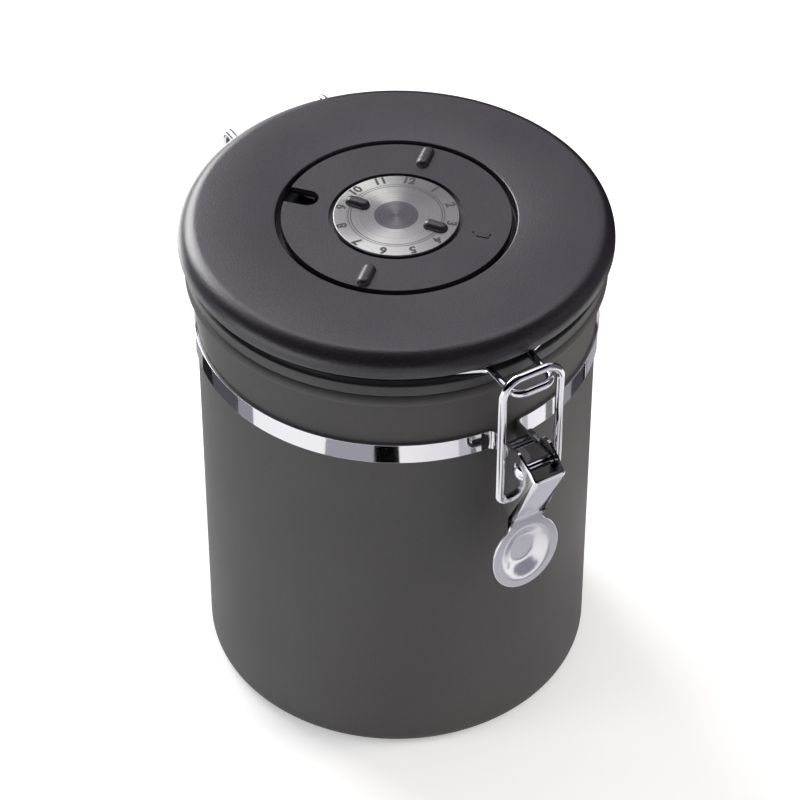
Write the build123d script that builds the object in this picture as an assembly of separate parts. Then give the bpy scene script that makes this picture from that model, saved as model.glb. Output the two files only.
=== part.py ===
from build123d import *
import os
from math import cos, radians, sin, sqrt

# Food canister with a steel can, a clamp strap with an over-centre latch, and a
# wire-held lid that carries a date dial and a one-way gas valve.
# The origin is the centre of the base on the surface it stands on, +Z is up, the
# latch is on the -Y side and the lid's hinge on the +Y side. Lengths in millimetres,
# angles in degrees, measured round the can from the latch towards +X.

# Fits shared by all pieces
running_gap = 0.05  # radial gap of a shaft in its hole or a ring on its guide
seat_gap = 0.1  # axial gap under a piece that turns on its seat
cut_over = 2.0  # how far a cutting shape runs past the face that it cuts

# Can, drawn from steel sheet
can_radius = 61.0
can_height = 151.0
can_wall = 0.7
base_corner = 5.0
base_ring_width = 10.0  # from the can's side in to the foot of the panel's slope
base_panel_slope = 2.0
base_panel_lift = 1.2
curl_inner_radius = 1.15  # rolled rim, radius of its hollow
curl_end_angle = 245

# Strap round the neck, with its two ends turned out as ears
band_thickness = 1.0
band_height = 7.0
band_drop = 26.8  # lower edge of the strap below the can's rim
ear_half_gap = 3.5
ear_bend = 2.0
ear_tip_reach = 3.4  # ear beyond the latch pivot
ear_corner = 2.0

# Screw and nut that draw the ears together
clamp_screw_radius = 1.5
clamp_screw_out = 5.45  # beyond the strap's outer face
clamp_head_radius = 2.6
clamp_head_height = 1.6
clamp_nut_flats = 5.0
clamp_nut_height = 2.0
clamp_thread_end = 0.8

# Latch lever, a pressed channel that ends in a thumb spoon
pivot_out = 10.4  # latch pivot beyond the clamp screw
pivot_radius = 1.5
lever_tilt = 26.5
lever_sheet = 0.85
lever_side_gap = 0.25  # each wall from the ear beside it
lever_face_reach = 7.5
lever_back_reach = 6.0
lever_top_reach = 6.1
lever_lobe = 3.4
lever_straight = 9.0
lever_waist_reach = 0.2
lever_waist_drop = 21.0
lever_crown_corner = 1.2
spoon_inset = 2.9  # spoon's front nearer to the can than the pivot
spoon_drop = 38.1  # spoon's centre below the pivot
spoon_half_width = 11.5
spoon_half_length = 13.8
spoon_lip = 2.6
spoon_depth = 2.5
spoon_floor_half_width = 4.6
spoon_floor_half_length = 6.0
neck_depth = 4.5
rivet_head_radius = 2.8
rivet_head_height = 1.25

# Wire loop of the latch
loop_wire_radius = 1.35
loop_side_gap = 0.4  # each leg from the nose's leg inside it
loop_top_bend = 6.0
loop_end_bend = 2.7
loop_eye_drop = 12.5  # its eye in the lever below the latch pivot
loop_eye_inset = 3.2  # and nearer to the can
loop_end_inset = 1.2  # wire end inside the lever's wall
loop_lean = 0.5  # its top bar further out than its eye
loop_hook_inset = 1.8  # its top bar inside the nose's front
loop_over_gap = 0.1  # its top corners from the nose's legs

# Bail wire that holds the lid
bail_wire_radius = 1.25
bail_ring_gap = 0.2  # ring from the bottom of its groove
bail_bend = 3.0
nose_half_width = 6.9
nose_run_half = 23.5  # where the ring turns into the straight run to the nose
nose_bend = 4.0
hinge_out = 12.95  # hinge line beyond the strap's outer face
hinge_leg_out = 4.4  # each leg outside its bracket ear
hinge_end_in = 2.3  # each wire end inside its bracket ear

# Hinge bracket on the strap
bracket_thickness = 1.0
bracket_half_width = 12.5
bracket_bend = 2.0
bracket_tip_reach = 3.2
bracket_corner = 2.0

# Lid base with the flange that the wire presses on
flange_inset = 0.3  # flange's edge inside the can's rolled rim
flange_gap = 0.9  # flange above the can's rim
flange_height = 4.0
flange_edge = 0.6
groove_height = 4.2
groove_depth = 4.9
lid_wall = 2.2
base_plate_thickness = 2.4
plug_gap = 3.05  # room round the plug, which swings out on the low hinge
plug_straight = 2.7
plug_taper = 2.45
plug_depth = 4.9
plug_wall = 2.2

# Gasket round the plug
gasket_thickness = 0.6
gasket_inset = 0.9  # gasket's edge inside the flange's
gasket_lip_width = 1.6
gasket_lip_drop = 1.7
gasket_lip_tip = 0.7

# Lid cap
cap_overhang = 2.0
cap_height = 7.3
cap_edge = 6.0
cap_under_edge = 0.8
cap_top = 2.6
cap_rim_wall = 2.3
cap_rim_hollow = 3.4
cap_spigot = 2.6
recess_share = 0.551
recess_depth = 5.0
recess_floor = 2.0
recess_wall = 2.0
guide_inset = 1.49  # guide's edge inside the dial's
guide_drop = 1.6
shelf_width = 1.95
hub_radius = 9.05

# Screws that hold the cap to the lid base
lid_screw_count = 4
lid_screw_inset = 12.9  # screw circle inside the groove
lid_screw_radius = 1.5
lid_screw_head_radius = 3.0
lid_screw_head_height = 1.7
lid_screw_length = 9.0
lid_screw_slack = 0.2
lid_boss_radius = 3.4

# Day scale under the day ring
scale_slot_over = 0.6  # scale's inner edge inside the slot's end
scale_thickness = 0.5
scale_edge_gap = 0.4

# Day ring
day_ring_gap = 1.7  # round the ring in the recess
day_ring_thickness = 2.4
day_ring_dial_gap = 1.26  # between the ring and the month dial
day_ledge_thickness = 0.9
day_slot_angle = -138.7
day_slot_width = 7.2
day_slot_depth = 9.9  # slot's inner end in from the ring's edge
day_nub_inset = 0.4
day_nub_length = 9.8
day_nub_width = 4.3
day_nub_height = 1.6
nub_edge = 0.6
day_mark_inset = 5.2  # outer end of the mark in from the ring's edge
day_mark_length = 4.0
day_mark_hook = 1.3  # how far its inner leg slants in
day_mark_width = 2.0
day_mark_line = 0.4
day_mark_depth = 0.3

# Month dial
dial_share = 0.526
dial_plate_thickness = 0.6
dial_proud = 0.2
dial_disc_thickness = 0.9
dial_nub_angle = 33.3
dial_nub_inset = 2.14
dial_nub_length = 8.0
dial_nub_width = 4.3
dial_nub_height = 1.6
dial_washer_radius = 12.0
dial_washer_thickness = 1.0
dial_hub_below = 0.2
dial_screw_radius = 1.6
dial_screw_head_radius = 3.5
dial_screw_head_height = 1.8
dial_screw_length = 6.0

# Gas valve in the middle of the lid base
valve_flange_width = 3.55
valve_flange_height = 1.5
valve_neck_radius = 8.45
valve_neck_above = 1.6
valve_wall = 1.85
valve_web_thickness = 1.0
valve_web_height = 0.6  # web above the flange's lower face
valve_hole_count = 6
valve_hole_radius = 0.9
valve_hole_circle = 3.8
valve_disc_gap = 1.0
valve_disc_thickness = 0.6
valve_stem_radius = 1.0
valve_stem_hole_gap = 0.1
valve_travel = 0.8
valve_cap_lip = 0.9
filter_thickness = 0.4
filter_edge_gap = 0.1

# Sizes that follow from the others
curl_outer_radius = curl_inner_radius + can_wall
curl_centre_radius = can_radius + curl_inner_radius
curl_height = can_height - curl_outer_radius
slope_end_radius = can_radius - base_ring_width
base_panel_radius = slope_end_radius - base_panel_slope
rim_radius = curl_centre_radius + curl_outer_radius
band_radius = can_radius + running_gap + band_thickness / 2
band_outer_radius = can_radius + running_gap + band_thickness
band_bottom = can_height - band_drop
band_top = band_bottom + band_height
band_middle = band_bottom + band_height / 2
clamp_screw_reach = band_outer_radius + clamp_screw_out
pivot_reach = clamp_screw_reach + pivot_out
spoon_reach = pivot_reach - spoon_inset
spoon_centre_height = band_middle - spoon_drop
ear_outer_half = ear_half_gap + band_thickness
lever_inner_half = ear_outer_half + lever_side_gap
lever_outer_half = lever_inner_half + lever_sheet
flange_radius = rim_radius - flange_inset
cap_radius = flange_radius + cap_overhang
flange_bottom = can_height + flange_gap
flange_top = flange_bottom + flange_height
groove_top = flange_top + groove_height
groove_radius = flange_radius - groove_depth
plug_radius = can_radius - can_wall - plug_gap
gasket_outer_radius = flange_radius - gasket_inset
lid_screw_circle = groove_radius - lid_screw_inset
plate_top = flange_bottom + base_plate_thickness
lid_top = groove_top + cap_height
bail_height = flange_top + bail_wire_radius + running_gap
bail_ring_radius = groove_radius + bail_wire_radius + bail_ring_gap
hinge_reach = band_outer_radius + hinge_out
hinge_leg_half = bracket_half_width + hinge_leg_out
hinge_end_half = bracket_half_width - hinge_end_in
recess_radius = cap_radius * recess_share
day_ring_radius = recess_radius - day_ring_gap
day_slot_inner = day_ring_radius - day_slot_depth
day_nub_outer = day_ring_radius - day_nub_inset
day_nub_inner = day_nub_outer - day_nub_length
day_mark_outer = day_ring_radius - day_mark_inset
day_mark_inner = day_mark_outer - day_mark_length
scale_inner_radius = day_slot_inner - scale_slot_over
dial_radius = recess_radius * dial_share
day_ring_bore = dial_radius + day_ring_dial_gap
guide_radius = dial_radius - guide_inset
dial_nub_outer = dial_radius - dial_nub_inset
dial_nub_inner = dial_nub_outer - dial_nub_length
recess_bottom = lid_top - recess_depth
recess_under = recess_bottom - recess_floor
day_ring_bottom = lid_top - day_ring_thickness
dial_top = lid_top + dial_proud
dial_disc_top = dial_top - dial_plate_thickness
dial_disc_bottom = dial_disc_top - dial_disc_thickness
dial_hub_bottom = recess_under - dial_hub_below
valve_flange_bottom = flange_bottom - valve_flange_height
valve_web_bottom = valve_flange_bottom + valve_web_height
valve_web_top = valve_web_bottom + valve_web_thickness
valve_neck_top = plate_top + valve_neck_above
valve_flange_radius = valve_neck_radius + valve_flange_width
valve_bore_radius = valve_neck_radius - valve_wall
valve_disc_radius = valve_bore_radius - valve_disc_gap
loop_eye_reach = pivot_reach - loop_eye_inset
loop_eye_height = band_middle - loop_eye_drop
loop_top_reach = loop_eye_reach + loop_lean
nose_reach = loop_top_reach + loop_hook_inset
wires_apart = bail_wire_radius + loop_wire_radius  # centre lines of the two wires in contact
loop_half_width = nose_half_width + wires_apart + loop_side_gap


# Outlines are drawn as (distance from the axis, height) in this plane
section_plane = Plane.XZ
# Side views of the latch are drawn as (distance towards the latch, height)
side_plane = Plane(origin=(0, 0, 0), x_dir=(0, -1, 0), z_dir=(-1, 0, 0))


def outline(points, rounds=()):
    """Closed face through points, with some corners rounded."""
    face = make_face(Polyline(*points, close=True))
    for corner, radius in rounds:
        nearest = face.vertices().sort_by_distance(Vector(*corner))[0]
        face = fillet(nearest, radius)
    return face


def turned(face):
    """Solid of revolution round the can's axis."""
    return revolve(section_plane * face, Axis.Z)


def disc(radius, bottom, top, bore=0):
    """Round plate or tube on the can's axis between two heights."""
    plate = Pos(0, 0, bottom) * extrude(Circle(radius), top - bottom)
    if bore:
        plate -= Pos(0, 0, bottom - cut_over) * extrude(Circle(bore), top - bottom + 2 * cut_over)
    return plate


def round_bar(radius, start, end, reach, height):
    """Cylinder along X from start to end, reach towards the latch from the axis."""
    bar = extrude(Circle(radius), end - start)
    return Pos(start, -reach, height) * Rot(0, 90, 0) * bar


def dome(radius, rise):
    """Shallow domed head that stands on the XY plane."""
    ball_radius = (radius**2 + rise**2) / (2 * rise)
    ball = Pos(0, 0, rise - ball_radius) * Sphere(ball_radius)
    return ball & extrude(Circle(radius), rise)


def wire_rod(path, radius):
    """Round wire swept along a path."""
    start = Plane(origin=path @ 0, z_dir=path % 0)
    return sweep(start * Circle(radius), path=path)


def both_halves(half):
    """The -X half joined to its mirror image."""
    return half + mirror(half, Plane.YZ)


def at_angle(angle, shape):
    """Turn a shape made on the latch side to its angle round the can."""
    return Rot(0, 0, angle) * shape


def ring_to_leg(ring_radius, leg_half, bend, side):
    """Bend between a ring and a leg parallel to Y, on the -X and +Y sides.

    side is 1 where the ring comes from outside the leg and -1 from between the
    legs. Returns the ring's tangent point, the bend's middle and the leg's point.
    """
    centre_x = leg_half + side * bend
    centre_y = sqrt((ring_radius + bend) ** 2 - centre_x**2)
    share = ring_radius / (ring_radius + bend)
    on_ring = (-centre_x * share, centre_y * share)
    on_leg = (-leg_half, centre_y)
    to_ring = Vector(on_ring[0] + centre_x, on_ring[1] - centre_y).normalized()
    to_leg = Vector(on_leg[0] + centre_x, 0).normalized()
    half_way = (to_ring + to_leg).normalized() * bend
    middle = (-centre_x + half_way.X, centre_y + half_way.Y)
    return on_ring, middle, on_leg


def lifted(point, height):
    """Plan point at a height."""
    return (point[0], point[1], height)


def mirrored_y(point):
    """Plan point taken to the latch side."""
    return (point[0], -point[1])


def make_can():
    """Deep-drawn can: shaped base, straight wall and outward-rolled rim."""
    inner_radius = can_radius - can_wall
    floor_top = base_panel_lift + can_wall
    points = [
        (0, base_panel_lift),
        (base_panel_radius, base_panel_lift),
        (slope_end_radius, 0),
        (can_radius, 0),
        (can_radius, curl_height),
        (inner_radius, curl_height),
        (inner_radius, can_wall),
        (slope_end_radius, can_wall),
        (base_panel_radius, floor_top),
        (0, floor_top),
    ]
    rounds = [((can_radius, 0), base_corner), ((inner_radius, can_wall), base_corner - can_wall)]
    shell = turned(outline(points, rounds))
    curl = Circle(curl_outer_radius) - Circle(curl_inner_radius)
    open_end = radians(curl_end_angle)
    far = curl_outer_radius + cut_over
    mouth = [(0, 0), (-far, 0), (-far, -far), (far * cos(open_end), far * sin(open_end))]
    curl -= make_face(Polyline(*mouth, close=True))
    return shell + turned(Pos(curl_centre_radius, curl_height) * curl)


def strip(path, thickness, bottom, top):
    """Flat strip on edge that follows a plan path."""
    return Pos(0, 0, bottom) * extrude(trace(path, thickness), top - bottom)


def make_neck_band():
    """Strap round the neck; its ends turn out as the latch's two ears."""
    ear_line = ear_half_gap + band_thickness / 2
    on_ring, middle, on_leg = ring_to_leg(band_radius, ear_line, ear_bend, 1)
    tip = (-ear_line, -pivot_reach - ear_tip_reach)
    path = Wire([
        Line(tip, mirrored_y(on_leg)),
        ThreePointArc(mirrored_y(on_leg), mirrored_y(middle), mirrored_y(on_ring)),
        ThreePointArc(mirrored_y(on_ring), (-band_radius, 0), (0, band_radius)),
    ])
    band = both_halves(strip(path, band_thickness, band_bottom, band_top))
    tips = band.edges().filter_by(Axis.X).group_by(Axis.Y)[0]
    band = fillet(tips, ear_corner)
    wide = ear_outer_half + cut_over
    for reach, radius in ((pivot_reach, pivot_radius), (clamp_screw_reach, clamp_screw_radius)):
        band -= round_bar(radius + running_gap, -wide, wide, reach, band_middle)
    return band


def make_clamp_screw():
    """Domed screw through both ears; its end stands out of the nut."""
    shank_end = ear_outer_half + clamp_nut_height + clamp_thread_end
    shank = round_bar(clamp_screw_radius, -ear_outer_half, shank_end, clamp_screw_reach, band_middle)
    head = Rot(0, -90, 0) * dome(clamp_head_radius, clamp_head_height)
    return shank + Pos(-ear_outer_half, -clamp_screw_reach, band_middle) * head


def make_clamp_nut():
    """Hexagon nut against the far ear."""
    across_corners = clamp_nut_flats / cos(radians(30)) / 2
    nut = extrude(RegularPolygon(across_corners, 6), clamp_nut_height)
    nut -= extrude(Circle(clamp_screw_radius + running_gap), clamp_nut_height)
    return Pos(ear_outer_half, -clamp_screw_reach, band_middle) * Rot(0, 90, 0) * nut


def make_lever_pin():
    """Pivot rivet of the lever, domed at both ends."""
    reach_out = lever_outer_half + running_gap
    pin = round_bar(pivot_radius, -reach_out, reach_out, pivot_reach, band_middle)
    head = dome(rivet_head_radius, rivet_head_height)
    pin += Pos(reach_out, -pivot_reach, band_middle) * Rot(0, 90, 0) * head
    pin += Pos(-reach_out, -pivot_reach, band_middle) * Rot(0, -90, 0) * head
    return pin


def lever_point(out, down):
    """Side-view point on the tilted lever, measured from its pivot."""
    lean = radians(lever_tilt)
    reach = pivot_reach + out * cos(lean) - down * sin(lean)
    height = band_middle - out * sin(lean) - down * cos(lean)
    return (reach, height)


def lever_drop_to(out, reach):
    """How far down the tilted lever a line at this depth meets a given reach."""
    lean = radians(lever_tilt)
    return (pivot_reach + out * cos(lean) - reach) / sin(lean)


def make_spoon():
    """Oval thumb spoon: flat lip round a dish pressed towards the can."""
    front = Plane(origin=(0, -spoon_reach, spoon_centre_height), x_dir=(1, 0, 0), z_dir=(0, 1, 0))
    dish_width = spoon_half_width - spoon_lip
    dish_length = spoon_half_length - spoon_lip
    plate = extrude(front * Ellipse(spoon_half_width, spoon_half_length), lever_sheet)
    floor = Ellipse(spoon_floor_half_width, spoon_floor_half_length)
    mouth = Ellipse(dish_width, dish_length)
    hollow = loft([front * mouth, front * Pos(0, 0, spoon_depth) * floor])
    back_floor = Ellipse(spoon_floor_half_width + lever_sheet, spoon_floor_half_length + lever_sheet)
    back_mouth = Ellipse(dish_width + lever_sheet, dish_length + lever_sheet)
    bulge = loft([front * back_mouth, front * Pos(0, 0, spoon_depth + lever_sheet) * back_floor])
    return plate + bulge - hollow


def make_latch_lever():
    """Channel with two walls on the pivot, narrowing into the thumb spoon."""
    half_share = lever_outer_half / spoon_half_width
    neck_height = spoon_centre_height + spoon_half_length * sqrt(1 - half_share**2)
    neck_low = neck_height - spoon_lip
    face_in = lever_face_reach - lever_sheet
    spoon_back = spoon_reach - lever_sheet
    crown = lever_point(-lever_back_reach, -lever_top_reach)
    brow = lever_point(lever_face_reach, -lever_top_reach)
    heel = lever_point(-lever_back_reach, lever_straight)
    waist = lever_point(lever_waist_reach, lever_waist_drop)
    side = [
        crown,
        brow,
        lever_point(lever_face_reach, lever_drop_to(lever_face_reach, spoon_reach)),
        (spoon_reach, neck_low),
        (spoon_back, neck_low),
        (spoon_reach - neck_depth, neck_height),
        waist,
        heel,
    ]
    rounds = [(crown, lever_lobe), (brow, lever_crown_corner), (heel, lever_lobe), (waist, lever_lobe)]
    body = extrude(side_plane * outline(side, rounds), lever_outer_half, both=True)
    inside = [
        lever_point(-lever_back_reach - cut_over, -lever_top_reach - cut_over),
        lever_point(face_in, -lever_top_reach - cut_over),
        lever_point(face_in, lever_drop_to(face_in, spoon_back)),
        (spoon_back, neck_low - cut_over),
        (can_radius, neck_low - cut_over),
        (can_radius, band_top + cut_over),
    ]
    body -= extrude(side_plane * outline(inside), lever_inner_half, both=True)
    body += make_spoon()
    wide = lever_outer_half + cut_over
    body -= round_bar(pivot_radius + running_gap, -wide, wide, pivot_reach, band_middle)
    body -= round_bar(loop_wire_radius + running_gap, -wide, wide, loop_eye_reach, loop_eye_height)
    return body


def loop_top_height():
    """Height of the loop's top bar, whose corners stay clear of the nose's legs."""
    inside_corner = loop_top_bend - wires_apart - loop_over_gap
    across = loop_top_bend - wires_apart - loop_side_gap
    return bail_height + loop_top_bend - sqrt(inside_corner**2 - across**2)


def make_latch_loop():
    """Wire loop from the lever's eyes up and over the nose of the bail wire."""
    rise = loop_top_height() - loop_eye_height
    lean = loop_top_reach - loop_eye_reach
    loop_plane = Plane(
        origin=(0, -loop_eye_reach, loop_eye_height), x_dir=(1, 0, 0), z_dir=(0, -rise, -lean)
    )
    length = sqrt(rise**2 + lean**2)
    end = lever_inner_half - loop_end_inset
    corners = [
        (0, length),
        (-loop_half_width, length),
        (-loop_half_width, 0),
        (-end, 0),
    ]
    path = loop_plane * FilletPolyline(*corners, radius=[loop_top_bend, loop_end_bend])
    return both_halves(wire_rod(Wire(path.edges()), loop_wire_radius))


def make_bail_wire():
    """Lid wire: ring in the lid's groove, nose at the latch, legs down to the hinge."""
    rear = ring_to_leg(bail_ring_radius, hinge_leg_half, bail_bend, 1)
    rear_ring, rear_middle, rear_leg = [lifted(p, bail_height) for p in rear]
    hinge_run = FilletPolyline(
        (-hinge_end_half, hinge_reach, band_middle),
        (-hinge_leg_half, hinge_reach, band_middle),
        (-hinge_leg_half, hinge_reach, bail_height),
        rear_leg,
        radius=bail_bend,
    )
    # the run to the nose is the ring's tangent, met by the nose's leg at its corner
    run_back = sqrt(bail_ring_radius**2 - nose_run_half**2)
    corner_back = (bail_ring_radius**2 - nose_half_width * nose_run_half) / run_back
    run_start = (-nose_run_half, -run_back, bail_height)
    leg_middle = (-nose_half_width, -(corner_back + nose_reach) / 2, bail_height)
    side_run = FilletPolyline(
        run_start,
        (-nose_half_width, -corner_back, bail_height),
        leg_middle,
        radius=bail_bend,
    )
    nose_run = FilletPolyline(
        leg_middle,
        (-nose_half_width, -nose_reach, bail_height),
        (0, -nose_reach, bail_height),
        radius=nose_bend,
    )
    edges = [
        *hinge_run.edges(),
        ThreePointArc(rear_leg, rear_middle, rear_ring),
        ThreePointArc(rear_ring, (-bail_ring_radius, 0, bail_height), run_start),
        *side_run.edges(),
        *nose_run.edges(),
    ]
    return both_halves(wire_rod(Wire(edges), bail_wire_radius))


def make_hinge_bracket():
    """Bracket on the back of the strap; the bail wire's ends turn in its two ears."""
    inner = band_radius + band_thickness / 2 + running_gap
    plate_radius = inner + bracket_thickness / 2
    on_ring, middle, on_leg = ring_to_leg(plate_radius, bracket_half_width, bracket_bend, -1)
    tip = (-bracket_half_width, hinge_reach + bracket_tip_reach)
    ring_middle = (0, plate_radius)
    quarter = (on_ring[0] + ring_middle[0]) / 2
    path = Wire([
        Line(tip, on_leg),
        ThreePointArc(on_leg, middle, on_ring),
        ThreePointArc(on_ring, (quarter, sqrt(plate_radius**2 - quarter**2)), ring_middle),
    ])
    bracket = both_halves(strip(path, bracket_thickness, band_bottom, band_top))
    tips = bracket.edges().filter_by(Axis.X).group_by(Axis.Y)[-1]
    bracket = fillet(tips, bracket_corner)
    wide = bracket_half_width + bracket_thickness + cut_over
    hole = bail_wire_radius + running_gap
    return bracket - round_bar(hole, -wide, wide, -hinge_reach, band_middle)


def screw_places():
    """Places of the lid screws, half a step away from the latch's direction."""
    step = 360 / lid_screw_count
    return [step * (index + 1 / 2) for index in range(lid_screw_count)]


def make_lid_base():
    """Moulded underside of the lid: plug, flange, wire groove and screw holes."""
    plug_bottom = flange_bottom - plug_depth
    plug_inner = plug_radius - plug_taper - plug_wall
    collar = groove_radius - lid_wall
    bore = valve_neck_radius + running_gap
    flange_low = (flange_radius, flange_bottom)
    flange_high = (flange_radius, flange_top)
    points = [
        (bore, flange_bottom),
        (plug_inner, flange_bottom),
        (plug_inner, plug_bottom),
        (plug_radius - plug_taper, plug_bottom),
        (plug_radius, flange_bottom - plug_straight),
        (plug_radius, flange_bottom),
        flange_low,
        flange_high,
        (groove_radius, flange_top),
        (groove_radius, groove_top),
        (collar, groove_top),
        (collar, plate_top),
        (bore, plate_top),
    ]
    base = turned(outline(points, [(flange_low, flange_edge), (flange_high, flange_edge)]))
    hole = extrude(Circle(lid_screw_radius + lid_screw_slack), base_plate_thickness + 2 * cut_over)
    for angle in screw_places():
        base -= at_angle(angle, Pos(0, -lid_screw_circle, flange_bottom - cut_over) * hole)
    return base


def make_gasket():
    """Silicone gasket: flat ring under the flange and a soft lip round the plug."""
    inner = plug_radius + running_gap
    bottom = flange_bottom - gasket_thickness
    points = [
        (inner, flange_bottom),
        (gasket_outer_radius, flange_bottom),
        (gasket_outer_radius, bottom),
        (inner + gasket_lip_width, bottom),
        (inner + gasket_lip_tip, bottom - gasket_lip_drop),
        (inner, bottom - gasket_lip_drop),
    ]
    return turned(outline(points))


def make_lid_cap():
    """Moulded cap: round-edged top, recess for the date rings, guide and hub bore."""
    spigot = groove_radius - lid_wall - running_gap
    spigot_inner = spigot - lid_wall
    hollow_outer = cap_radius - cap_rim_wall
    hollow_inner = groove_radius + flange_edge
    hollow_top = groove_top + cap_rim_hollow
    under_top = lid_top - cap_top
    recess_outer = recess_radius + recess_wall
    bore = hub_radius + running_gap
    shelf = guide_radius + shelf_width
    shelf_top = day_ring_bottom - seat_gap
    guide_top = lid_top - guide_drop
    edge_high = (cap_radius, lid_top)
    edge_low = (cap_radius, groove_top)
    points = [
        (recess_radius, lid_top),
        edge_high,
        edge_low,
        (hollow_outer, groove_top),
        (hollow_outer, hollow_top),
        (hollow_inner, hollow_top),
        (hollow_inner, groove_top),
        (spigot, groove_top),
        (spigot, groove_top - cap_spigot),
        (spigot_inner, groove_top - cap_spigot),
        (spigot_inner, under_top),
        (recess_outer, under_top),
        (recess_outer, recess_under),
        (bore, recess_under),
        (bore, guide_top),
        (guide_radius, guide_top),
        (guide_radius, shelf_top),
        (shelf, shelf_top),
        (shelf, recess_bottom),
        (recess_radius, recess_bottom),
    ]
    cap = turned(outline(points, [(edge_high, cap_edge), (edge_low, cap_under_edge)]))
    boss = extrude(Circle(lid_boss_radius), under_top - plate_top)
    pilot = extrude(Circle(lid_screw_radius + running_gap), lid_screw_length)
    place = Pos(0, -lid_screw_circle, plate_top)
    for angle in screw_places():
        cap += at_angle(angle, place * boss)
        cap -= at_angle(angle, place * pilot)
    return cap


def make_lid_screws():
    """Pan-head screws from below, through the lid base into the cap's bosses."""
    shank_length = base_plate_thickness + lid_screw_length - lid_screw_head_height
    shank = extrude(Circle(lid_screw_radius), shank_length)
    head = Rot(180, 0, 0) * dome(lid_screw_head_radius, lid_screw_head_height)
    screw = shank + head
    place = Pos(0, -lid_screw_circle, flange_bottom)
    return Compound(children=[at_angle(angle, place * screw) for angle in screw_places()])


def make_day_scale():
    """Thin printed ring on the recess floor, seen through the day ring's slot."""
    outer = recess_radius - scale_edge_gap
    return disc(outer, recess_bottom, recess_bottom + scale_thickness, scale_inner_radius)


def grip_nub(inner, outer, width, height, bottom, top):
    """Oblong grip on a ring, long way radial, on the latch side."""
    nub = extrude(SlotOverall(outer - inner, width, rotation=90), top - bottom + height)
    nub = fillet(nub.edges().group_by(Axis.Z)[-1], nub_edge)
    return Pos(0, -(inner + outer) / 2, bottom) * nub


def make_day_ring():
    """Day ring: window slot to the rim, two grips and an engraved pointer mark."""
    ledge_top = day_ring_bottom + day_ledge_thickness
    ring = disc(day_ring_radius, day_ring_bottom, lid_top, day_ring_bore)
    ring += disc(day_ring_bore, day_ring_bottom, ledge_top, guide_radius + running_gap)
    slot_length = day_ring_radius - day_slot_inner + day_slot_width
    slot = extrude(SlotOverall(slot_length, day_slot_width, rotation=90), day_ring_thickness + 2 * cut_over)
    slot = Pos(0, -day_slot_inner - slot_length / 2, day_ring_bottom - cut_over) * slot
    ring -= at_angle(day_slot_angle, slot)
    nub = grip_nub(day_nub_inner, day_nub_outer, day_nub_width, day_nub_height, day_ring_bottom, lid_top)
    for turn in (-90, 90):
        ring += at_angle(day_slot_angle + turn, nub)
    side = -day_mark_width + day_mark_line / 2
    line = Polyline(
        (side + day_mark_hook, -day_mark_inner + day_mark_hook),
        (side, -day_mark_inner),
        (side, -day_mark_outer),
        (0, -day_mark_outer),
    )
    mark = extrude(trace(line, day_mark_line), day_mark_depth + cut_over)
    mark = Pos(0, 0, lid_top - day_mark_depth) * mark
    return ring - at_angle(day_slot_angle + 180, mark)


def dial_nubs():
    """The two grips that stand up through the month plate."""
    nub = grip_nub(
        dial_nub_inner, dial_nub_outer, dial_nub_width, dial_nub_height, dial_disc_bottom, dial_top
    )
    return [at_angle(dial_nub_angle + turn, nub) for turn in (0, 180)]


def make_dial_carrier():
    """Moulded carrier of the month plate, with its hub and grips."""
    carrier = disc(dial_radius, dial_disc_bottom, dial_disc_top)
    carrier += disc(hub_radius, dial_hub_bottom, dial_disc_top)
    for nub in dial_nubs():
        carrier += nub
    pilot = extrude(Circle(dial_screw_radius + running_gap), dial_screw_length)
    return carrier - Pos(0, 0, dial_hub_bottom) * pilot


def make_dial_plate():
    """Round metal month plate with two slots for the carrier's grips."""
    plate = disc(dial_radius, dial_disc_top, dial_top)
    length = dial_nub_outer - dial_nub_inner + 2 * running_gap
    width = dial_nub_width + 2 * running_gap
    slot = extrude(SlotOverall(length, width, rotation=90), dial_plate_thickness + 2 * cut_over)
    middle = (dial_nub_inner + dial_nub_outer) / 2
    slot = Pos(0, -middle, dial_disc_top - cut_over) * slot
    for turn in (0, 180):
        plate -= at_angle(dial_nub_angle + turn, slot)
    return plate


def make_dial_washer():
    """Washer that keeps the dial's hub in the cap."""
    bottom = dial_hub_bottom - dial_washer_thickness
    return disc(dial_washer_radius, bottom, dial_hub_bottom, dial_screw_radius + running_gap)


def make_dial_screw():
    """Screw from below into the dial's hub."""
    seat = dial_hub_bottom - dial_washer_thickness
    shank = disc(dial_screw_radius, seat, seat + dial_screw_length)
    head = Rot(180, 0, 0) * dome(dial_screw_head_radius, dial_screw_head_height)
    return shank + Pos(0, 0, seat) * head


def make_valve_body():
    """Valve body pushed up into the lid base, with a holed web as its seat."""
    body = disc(valve_flange_radius, valve_flange_bottom, flange_bottom, valve_bore_radius)
    body += disc(valve_neck_radius, valve_flange_bottom, valve_neck_top, valve_bore_radius)
    body += disc(valve_neck_radius, valve_web_bottom, valve_web_top, valve_stem_radius + valve_stem_hole_gap)
    hole = extrude(Circle(valve_hole_radius), valve_web_thickness + 2 * cut_over)
    step = 360 / valve_hole_count
    for index in range(valve_hole_count):
        body -= at_angle(step * index, Pos(0, -valve_hole_circle, valve_web_bottom - cut_over) * hole)
    return body


def make_valve_disc():
    """Silicone disc that lifts off the web to let gas out, guided by its stem."""
    bottom = valve_web_top + running_gap
    valve = disc(valve_disc_radius, bottom, bottom + valve_disc_thickness)
    return valve + disc(valve_stem_radius, valve_web_bottom, bottom)


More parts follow.
